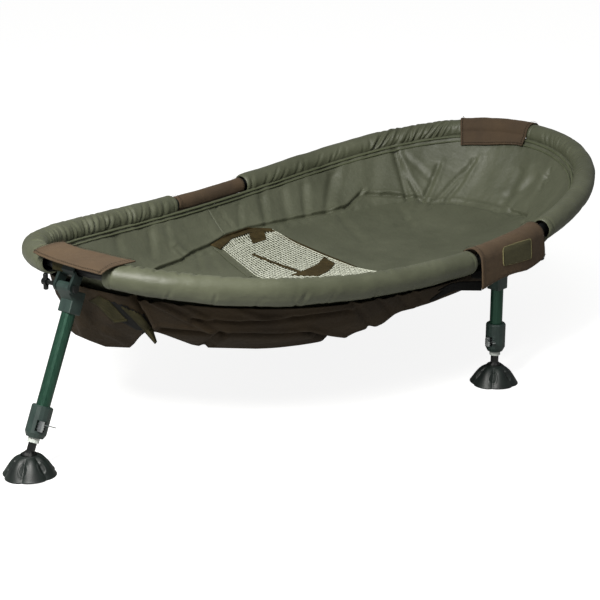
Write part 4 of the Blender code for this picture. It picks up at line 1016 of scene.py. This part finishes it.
def make_cover(name, node, angles, line_at, body, stitch_edges, seed, fan):
    """A cloth cover laid round the hoop, with turned hems and stitches; fan narrows its first edge."""
    run = lengths_along(hoop_place(angles))
    middle = (angles[0] + angles[-1]) / 2
    fanned = np.linspace(fan, 1.0, COVER_ROWS)
    grid, facing, uvs = [], [], []
    for k, angle in enumerate(angles):
        line = resampled(line_at(angle), COVER_ROWS)
        at_angles = middle + (angle - middle) * fanned
        _, outward, upward = hoop_axes(at_angles)
        at = lengths_along(line)
        tangent = np.gradient(line, axis=0)
        tangent /= np.linalg.norm(tangent, axis=1)[:, None]
        out = np.column_stack([tangent[:, 1], -tangent[:, 0]])
        from_edge = np.minimum(np.minimum(at, at[-1] - at), min(run[k], run[-1] - run[k]))
        hem = 0.7 * MM / (1 + np.exp((from_edge - HEM) / (0.5 * MM)))
        cloth = np.column_stack([np.full(COVER_ROWS, run[k]), at, np.zeros(COVER_ROWS)])
        ripple = 1.2 * MM * drift(cloth, 0.045, seed) + 0.5 * MM * drift(cloth, 0.018, seed + 1)
        line = line + out * (hem + np.abs(ripple))[:, None]
        grid.append(hoop_place(at_angles) + outward * line[:, :1] + upward * line[:, 1:])
        facing.append(outward * out[:, :1] + upward * out[:, 1:])
        uvs += [(run[k], reach) for reach in at]
    grid, facing = np.array(grid), np.array(facing)
    faces = grid_faces(len(angles), COVER_ROWS)
    piece = add_piece(name, grid.reshape(-1, 3), faces, COVER_CANVAS, uvs)
    rows = {"first": np.s_[STITCH_INSET], "last": np.s_[-STITCH_INSET - 1],
            "start": np.s_[:, STITCH_INSET], "end": np.s_[:, -STITCH_INSET - 1]}
    lines = [(grid[rows[edge]], facing[rows[edge]]) for edge in stitch_edges]
    stitches = make_stitches(name + "_stitches", lines, COVER_CLOTH, THREAD)
    halves = {"whole": piece} if body[0] != "fold_links" else split_at_fold(piece)
    for half in halves.values():
        thickened(half, COVER_CLOTH, 1.0)
        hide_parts(node)
    return halves, stitches


def make_stitches(name, lines, lift, thread, pitch=4.2 * MM, length=2.7 * MM, width=0.55 * MM):
    """Rows of short stitches along lines of (points, facing directions)."""
    points, faces = [], []
    for line, facing in lines:
        at = lengths_along(line)
        count = int(at[-1] / pitch)
        for k in range(count):
            start, end = k * pitch + 0.4 * MM, k * pitch + 0.4 * MM + length
            ends = []
            for place in (start, (start + end) / 2, end):
                spot = np.array([np.interp(place, at, line[:, n]) for n in range(3)])
                away = np.array([np.interp(place, at, facing[:, n]) for n in range(3)])
                ends.append((spot, away / np.linalg.norm(away)))
            run = ends[2][0] - ends[0][0]
            run = run / np.linalg.norm(run)
            for n, (spot, away) in enumerate(ends):
                side = np.cross(run, away)
                high = lift + (0.55 * MM if n == 1 else 0.05 * MM)
                for across, up in ((-1, 0), (-0.6, 1), (0.6, 1), (1, 0)):
                    points.append(spot + side * across * width + away * (high + up * 0.35 * MM))
            base = len(points) - 12
            for n in (0, 4):
                for m in range(4):
                    a, b = base + n + m, base + n + (m + 1) % 4
                    faces.append((a, b, b + 4, a + 4))
            faces.append((base, base + 1, base + 2, base + 3))
            faces.append((base + 11, base + 10, base + 9, base + 8))
    return turn_out(add_piece(name, points, faces, thread))


# The covers' distance from the hoop's centre line, and the columns of their grid
COVER_WRAP = 21.6 * MM
COVER_COLUMNS = 70
# Where each cover lies on the hoop, in degrees, and how far the left flap goes from its start to full spread
LEFT_FLAP_SPAN = (167.6, 196.5)
LEFT_FLAP_SPREAD = 28.9
RIGHT_FLAP_SPAN = (-4.2, 18.6)
REAR_WRAP_SPAN = (79.5, 96.8)
FRONT_WRAP_SPAN = (268.6, 286.4)


def liner_slope(angle, shares):
    """Points on the liner's wall at shares of the way down it, as (out, up) from the hoop."""
    rows = shell_rows(np.array([angle]), shares, [])[:, 0]
    centre = hoop_place([angle])[0]
    _, outward, upward = (axes[0] for axes in hoop_axes([angle]))
    return np.column_stack([(rows - centre) @ outward, (rows - centre) @ upward])


def left_flap_line(angle):
    """The flat flap over the left end: laid on the clamp, its long edges bent down a little."""
    along = min(max((angle - LEFT_FLAP_SPAN[0]) / LEFT_FLAP_SPREAD, 0.0), 1.0)
    w = np.linspace(-33 + 8 * along, 31 + 4 * along, 30) * MM
    share = w / w[-1]
    bend = -(2.5 + 7.0 * along) * MM * np.clip(share, 0, 1) ** 3 - 1.5 * MM * np.clip(-share, 0, 1) ** 3
    return np.column_stack([w, 21.9 * MM + bend])[::-1]


def right_flap_line(angle):
    """Over the right end: round the sleeve, then down inside on the liner's wall."""
    reach = 1.0 - 0.3 * min(max((10.0 - angle) / 12.0, 0), 1)
    inside = liner_slope(angle, np.array([0.04, 0.08, 0.12, 0.16]) * reach)
    flap = inside + np.array([-5.0, 5.0]) * MM
    return np.vstack([arc_line(COVER_WRAP, 12, 185, 26), flap])


def rear_wrap_line(_angle):
    """Tight over the rear fold joint, and down outside."""
    hanging = np.array([[24.6, -44], [23.2, -22], [21.4, -4.4]]) * MM
    return np.vstack([hanging, arc_line(14.0 * MM, 30, 232, 24)])


def front_wrap_line(angle):
    """Over the front clamp: round the sleeve and hanging outside, its right corner cut away."""
    to_end = (FRONT_WRAP_SPAN[1] - angle) / 5.0
    shorter = 9 * MM * math.exp(-max(to_end, 0) * 2.4)
    scoop = 7 * MM * math.sin(math.pi * min(max((angle - FRONT_WRAP_SPAN[0]) / 12.0, 0), 1))
    low = -45 * MM + shorter + scoop
    hanging = np.array([[24.6 * MM, low], [24.0 * MM, low * 0.6], [22.8 * MM, low * 0.25]])
    return np.vstack([hanging, arc_line(COVER_WRAP, 0, 195, 28)])


# Piece, node, span, section, body and what it rests on, edges with stitches, seed and fan
COVER_SPECS = (
    ("cover_flap_left", "cover_left_end", LEFT_FLAP_SPAN, left_flap_line, ("left_frame", "sleeve_rear_left"),
     ("first", "last", "start", "end"), 31, 0.68),
    ("cover_flap_right", "cover_right_end", RIGHT_FLAP_SPAN, right_flap_line,
     ("right_frame", "sleeve_rear_right"), ("first", "last", "end"), 33, 1.0),
    ("cover_wrap_rear", "cover_rear", REAR_WRAP_SPAN, rear_wrap_line, ("fold_links", "fold_link_rear"),
     ("first", "last"), 35, 1.0),
    ("cover_wrap_front", "cover_front", FRONT_WRAP_SPAN, front_wrap_line,
     ("right_frame", "leg_bracket_front"), ("first", "last", "start"), 37, 1.0),
)


def make_covers():
    """The four brown cloth covers, each on its body; the rear one is cut at the fold, and its halves are left
    unattached.
    """
    made = {}
    for name, node, span, line_at, body, edges, seed, fan in COVER_SPECS:
        angles = np.linspace(*span, COVER_COLUMNS)
        halves, stitches = make_cover(name, node, angles, line_at, body, edges, seed, fan)
        made[node] = halves
        if "whole" in halves:
            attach(halves["whole"], body[0])
            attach(stitches, body[0])
            continue
        for side, half in halves.items():
            bend_at_fold(half)
        for side, half in split_at_fold(stitches).items():
            bend_at_fold(half)
    return made


COVERS = make_covers()


# Patch on the front cover, bare: its upper and lower edges as lines of pixels

PATCH_UPPER = ((503, 247.5), (517, 242.5), (531, 238.5))
PATCH_LOWER = ((503.5, 266), (518, 262.5), (531.5, 258.5))
PATCH_MIDDLE = (517, 252)
PATCH_ROWS, PATCH_COLUMNS = 22, 30


def make_patch():
    """A sewn patch of olive twill with an overlocked edge and rounded corners."""
    tree = surface_of(COVERS["cover_front"]["whole"])
    top, low = resampled(PATCH_UPPER, PATCH_COLUMNS), resampled(PATCH_LOWER, PATCH_COLUMNS)
    points, uvs = [], []
    for r in range(PATCH_ROWS):
        share = r / (PATCH_ROWS - 1)
        inset = 1.3 * max(0.0, abs(2 * share - 1) - 0.72) / 0.28
        line = top + (low - top) * share
        line = line + (line.mean(axis=0) - line) * (inset * 0.05)
        points += laid(tree, line, [0.5 * MM] * PATCH_COLUMNS)
        uvs += [(c * 1.7 * MM, r * 1.7 * MM) for c in range(PATCH_COLUMNS)]
    piece = add_piece("cover_patch", points, grid_faces(PATCH_ROWS, PATCH_COLUMNS), PATCH_TWILL, uvs)
    grid = np.array([tuple(p) for p in points]).reshape(PATCH_ROWS, PATCH_COLUMNS, 3)
    back = -np.array(sight(*PATCH_MIDDLE))
    edge = [grid[0], grid[:, -1], grid[-1][::-1], grid[:, 0][::-1]]
    lines = [(line, np.tile(back, (len(line), 1))) for line in edge]
    thickened(piece, 1.0 * MM, 0.0)
    stitches = make_stitches("cover_patch_edge", lines, 0.2 * MM, PATCH_THREAD, 1.7 * MM, 1.5 * MM, 0.9 * MM)
    for part in (piece, stitches):
        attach(part, "right_frame")


make_patch()


# Straps and a sheet of painted shade at the left end, and the closing strap at the front

# Piece, body, what it lies on, its two edges as lines of pixels, lifts and thickness in mm, material, and
# columns of its grid
STRAPS = (
    # Painted shade: a black sheet laid on the bag where the gap behind the left straps lies in shadow
    ("left_corner_painted_shade", "left_frame", "bag",
     ((92, 276), (106, 280), (122, 290), (133.5, 297), (143, 312), (153.5, 331)),
     ((84, 287), (90, 298), (99, 303), (113, 318), (127, 324.5), (142, 333)),
     (2.0, 2.0), 1.0, PAINTED_SHADE_BLACK, 12),
    ("left_side_panel", "left_frame", "bag", ((99, 296), (110, 302), (119, 312), (127, 320.5)),
     ((89, 301), (98, 306), (107, 316), (114, 322.5)), (4.5, 4.5), 1.4, OLIVE_WEBBING, 10),
    ("left_side_panel_edge", "left_frame", "bag", ((113.5, 321.5), (120, 320.6), (127, 319.4)),
     ((114, 323.0), (120.5, 322.1), (127.6, 320.9)), (6.5, 6.5), 1.2, OLIVE_WEBBING, 4),
    ("left_long_strap", "left_frame", "bag",
     ((95, 272), (104, 278.5), (114.5, 287.5), (124, 296.5), (133.6, 306.6), (144, 318.5), (152.7, 329.5),
      (156.5, 342)),
     ((83, 270), (88, 279), (95.4, 287.5), (106, 296), (118.3, 304.7), (130, 316), (141.2, 327.6),
      (155.4, 343.8)),
     (12.0, 9.0, 7.0, 6.0, 5.0), 2.0, OLIVE_WEBBING, 9),
    ("left_bracket_webbing", "left_frame", "bracket", ((52.5, 257.5), (64.5, 260.5)),
     ((53, 269.5), (63, 271.5)), (0.0, 0.0), 2.0, OLIVE_WEBBING, 7),
    ("front_closing_strap", "right_frame", "front", ((482, 281), (463, 281.6), (452, 283.2), (446, 286)),
     ((481, 290.6), (461, 290.4), (449, 290.2), (438, 290.8)), (0.0, 0.0), 2.4, BLACK_WEBBING, 7),
    ("front_strap_tail", "right_frame", "front", ((452, 284), (446, 288.5), (437, 294.5), (429.6, 300.4)),
     ((457, 289.6), (449, 292.5), (440, 297), (430.6, 301.6)), (0.0, 0.0), 2.0, BLACK_WEBBING, 7),
    ("front_strap_loop", "right_frame", "front", ((482, 269.5), (477, 270.4), (472.5, 273.5)),
     ((482, 278.4), (476.5, 278.6), (471.5, 277.6)), (0.0, 0.0), 2.4, BLACK_WEBBING, 7),
)
FRONT_STRAP_Y = -0.315
LEFT_BRACKET_SPOT = Vector((-0.640, 0.016, 0.290))


def plane_tree(spot, facing, half=0.6):
    """A flat search tree through a spot, to lay straps on where no cloth lies behind them."""
    across = facing.cross(Vector((0, 0, 1))).normalized()
    up = across.cross(facing).normalized()
    corners = [spot + across * (half * a) + up * (half * b) for a, b in ((-1, -1), (1, -1), (1, 1), (-1, 1))]
    return BVHTree.FromPolygons(corners, [(0, 1, 2, 3)])


def make_straps():
    """Thin webbing, and a black sheet of painted shade, each lying where the photograph shows it."""
    trees = {"bag": BAG_SURFACE,
             "front": plane_tree(Vector((0, FRONT_STRAP_Y, 0.2)), Vector((0, -1, 0))),
             "bracket": plane_tree(LEFT_BRACKET_SPOT, Vector((-1, -0.3, 0)).normalized())}
    for name, body, lies_on, one_edge, other_edge, lift, thickness, material, columns in STRAPS:
        lifts = [v * MM for v in lift]
        piece = make_ribbon(name, trees[lies_on], one_edge, other_edge, lifts, thickness * MM, material,
                            columns)
        declare_strip(piece)
        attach(piece, body)


make_straps()


# Feet

# Number of lobes, height of the cone, and its radius at the top
FOOT_LOBES = 6
FOOT_HIGH = 30 * MM
FOOT_NECK = 13.5 * MM
FOOT_SIDES, FOOT_RINGS = 180, 30
# Rings of the underside, as shares of the foot's reach, and of the cup, as radius and height in mm
FOOT_UNDER = (0.96, 0.8, 0.55, 0.3)
FOOT_CUP = ((13.5, 1.5), (13.0, 3.5), (12.6, 1.0), (12.4, -4.0), (10.0, -9.0), (5.0, -12.0))
# How far each foot is turned on its ball, in radians
FOOT_TURNS = {"left": 0.2, "rear": 1.3, "right": 0.9, "front": 0.45}


def foot_skin(a, t, above, reach, turn):
    """Radius and height of a foot's skin at angle a and share t of its reach, above or below."""
    lobe = math.cos(FOOT_LOBES * a)
    ridge = abs(math.cos(FOOT_LOBES * a / 2)) ** 0.7
    full = reach - 1.5 * MM
    radius = FOOT_NECK + (full - FOOT_NECK) * t * (1 - 0.13 * t * (1 - ridge) ** 1.2)
    fall = 0.35 * t + 0.65 * t ** 1.6
    z = FOOT_HIGH * (1 - fall) + 1.5 * MM * (1 - t)
    z += (ridge - 0.55) * 7.5 * MM * math.sin(math.pi * min(t * 1.05, 1)) ** 0.9
    from_loop = math.hypot((t - 0.55) / 0.26, (abs(lobe) - 1) / 0.9)
    if lobe < 0:
        z += 1.6 * MM * math.exp(-((from_loop - 0.8) / 0.18) ** 2)
    z += 2.2 * MM * t ** 6 * (1 + math.cos(3 * a + turn)) / 2
    if not above:
        z -= 2.4 * MM
    elif t > 0.97:
        z = max(z, 0.4 * MM)
    return radius, max(z, 0.0)


def make_foot(leg):
    """A soft rubber foot: a cone of folded lobes with raised loops, round a cup for the ball."""
    low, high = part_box("mud_foot_" + leg)
    centre = (low + high) / 2
    reach = max(high.x - low.x, high.y - low.y) / 2
    turn = FOOT_TURNS[leg]
    angles = [2 * math.pi * k / FOOT_SIDES + turn for k in range(FOOT_SIDES)]
    profile = [(t / (FOOT_RINGS - 1), True) for t in range(FOOT_RINGS)] + [(t, False) for t in FOOT_UNDER]
    rings = [[(*foot_skin(a, t, above, reach, turn), t * 0.04) for a in angles] for t, above in profile]
    rings += [[(radius * MM, FOOT_HIGH + up * MM, up * MM)] * FOOT_SIDES for radius, up in FOOT_CUP]
    points, uvs = [], []
    for ring in rings:
        for a, (radius, height, along) in zip(angles, ring):
            points.append((centre.x + radius * math.cos(a), centre.y + radius * math.sin(a), height))
            uvs.append((radius * a, along))
    faces = grid_faces(len(profile), FOOT_SIDES, around=True)
    previous = 0
    cup = len(profile) * FOOT_SIDES
    for start in range(cup, len(points), FOOT_SIDES):
        for k in range(FOOT_SIDES):
            n = (k + 1) % FOOT_SIDES
            faces.append((previous + n, previous + k, start + k, start + n))
        previous = start
    faces.append(tuple(range(previous, len(points))))
    faces.append(tuple(range(cup - FOOT_SIDES, cup))[::-1])
    piece = turn_out(add_piece("foot_" + leg, points, faces, FOOT_RUBBER, uvs))
    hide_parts("mud_foot_" + leg)
    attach(piece, "foot_" + leg)


for leg_name in ("left", "rear", "right", "front"):
    make_foot(leg_name)


# The CAD nodes that stay, by the start of their names, and their materials
FINISHES = (
    ("hoop_tube", COATED_STEEL), ("fold_", ZINC_STEEL), ("leg_bracket", SHADED_BRACKET_NYLON),
    ("leg_head", CLAMP_NYLON), ("cam_collar", CLAMP_NYLON), ("leg_tube", ANODISED_TUBE),
    ("cam_lever", ZINC_STEEL), ("t_bar", BLACK_NYLON), ("foot_stem", BLACK_NYLON),
    ("neck_bush", WHITE_ACETAL),
)


def repaint(prefix, material):
    """Give the CAD nodes whose names start so a better material."""
    for name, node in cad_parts.items():
        if name.startswith(prefix):
            node.data.materials.clear()
            node.data.materials.append(material)


for name_start, finish in FINISHES:
    repaint(name_start, finish)


# Studio

FLOOR_SIZE = 40.0
# How bright the floor's own white is to the camera, and how strong the world is for all but the camera
FLOOR_GLOW = 0.88
WORLD_STRENGTH = 0.22


def add_area_light(name, place, aim, size, power, tone):
    """A soft box aimed at a point."""
    data = bpy.data.lights.new(name, "AREA")
    data.shape = "RECTANGLE"
    data.size, data.size_y = size
    data.energy = power
    data.color = tone
    light = bpy.data.objects.new(name, data)
    light.location = place
    light.rotation_euler = (Vector(aim) - Vector(place)).to_track_quat("-Z", "Y").to_euler()
    bpy.context.scene.collection.objects.link(light)


def make_studio():
    """Pale floor, white surroundings for the camera, and plain soft light."""
    corners = [(FLOOR_SIZE * a, FLOOR_SIZE * b, 0) for a, b in ((-1, -1), (1, -1), (1, 1), (-1, 1))]
    material, tree, shader = new_material("pale_paper_floor", Roughness=0.9, Base_Color=linear("a6a6a4"),
                                          Emission_Color=(1, 1, 1, 1))
    path = add_node(tree, "ShaderNodeLightPath")
    glow = add_node(tree, "ShaderNodeMath", {"operation": "MULTIPLY"}, {1: FLOOR_GLOW},
                    {0: path.outputs["Is Camera Ray"]})
    tree.links.new(glow.outputs[0], shader.inputs["Emission Strength"])
    floor = add_piece("floor", corners, [(0, 1, 2, 3)], material, smooth=False)
    floor.location.z = -0.5 * MM
    world = bpy.data.worlds.new("studio")
    bpy.context.scene.world = world
    world.use_nodes = True
    tree = world.node_tree
    background = tree.nodes["Background"]
    path = add_node(tree, "ShaderNodeLightPath")
    level = add_node(tree, "ShaderNodeMapRange", {}, {"To Min": WORLD_STRENGTH, "To Max": 1.0},
                     {"Value": path.outputs["Is Camera Ray"]})
    background.inputs["Color"].default_value = (1, 1, 1, 1)
    tree.links.new(level.outputs["Result"], background.inputs["Strength"])
    add_area_light("key_light", (-1.7, -0.4, 1.6), (-0.4, -0.15, 0.25), (0.7, 0.7), 64.0, (1.0, 0.985, 0.95))
    add_area_light("top_light", (-0.5, -0.5, 2.3), (0, 0.1, 0.1), (1.5, 1.5), 12.0, (1.0, 1.0, 1.0))


make_studio()
bpy.context.scene.view_settings.view_transform = "Standard"
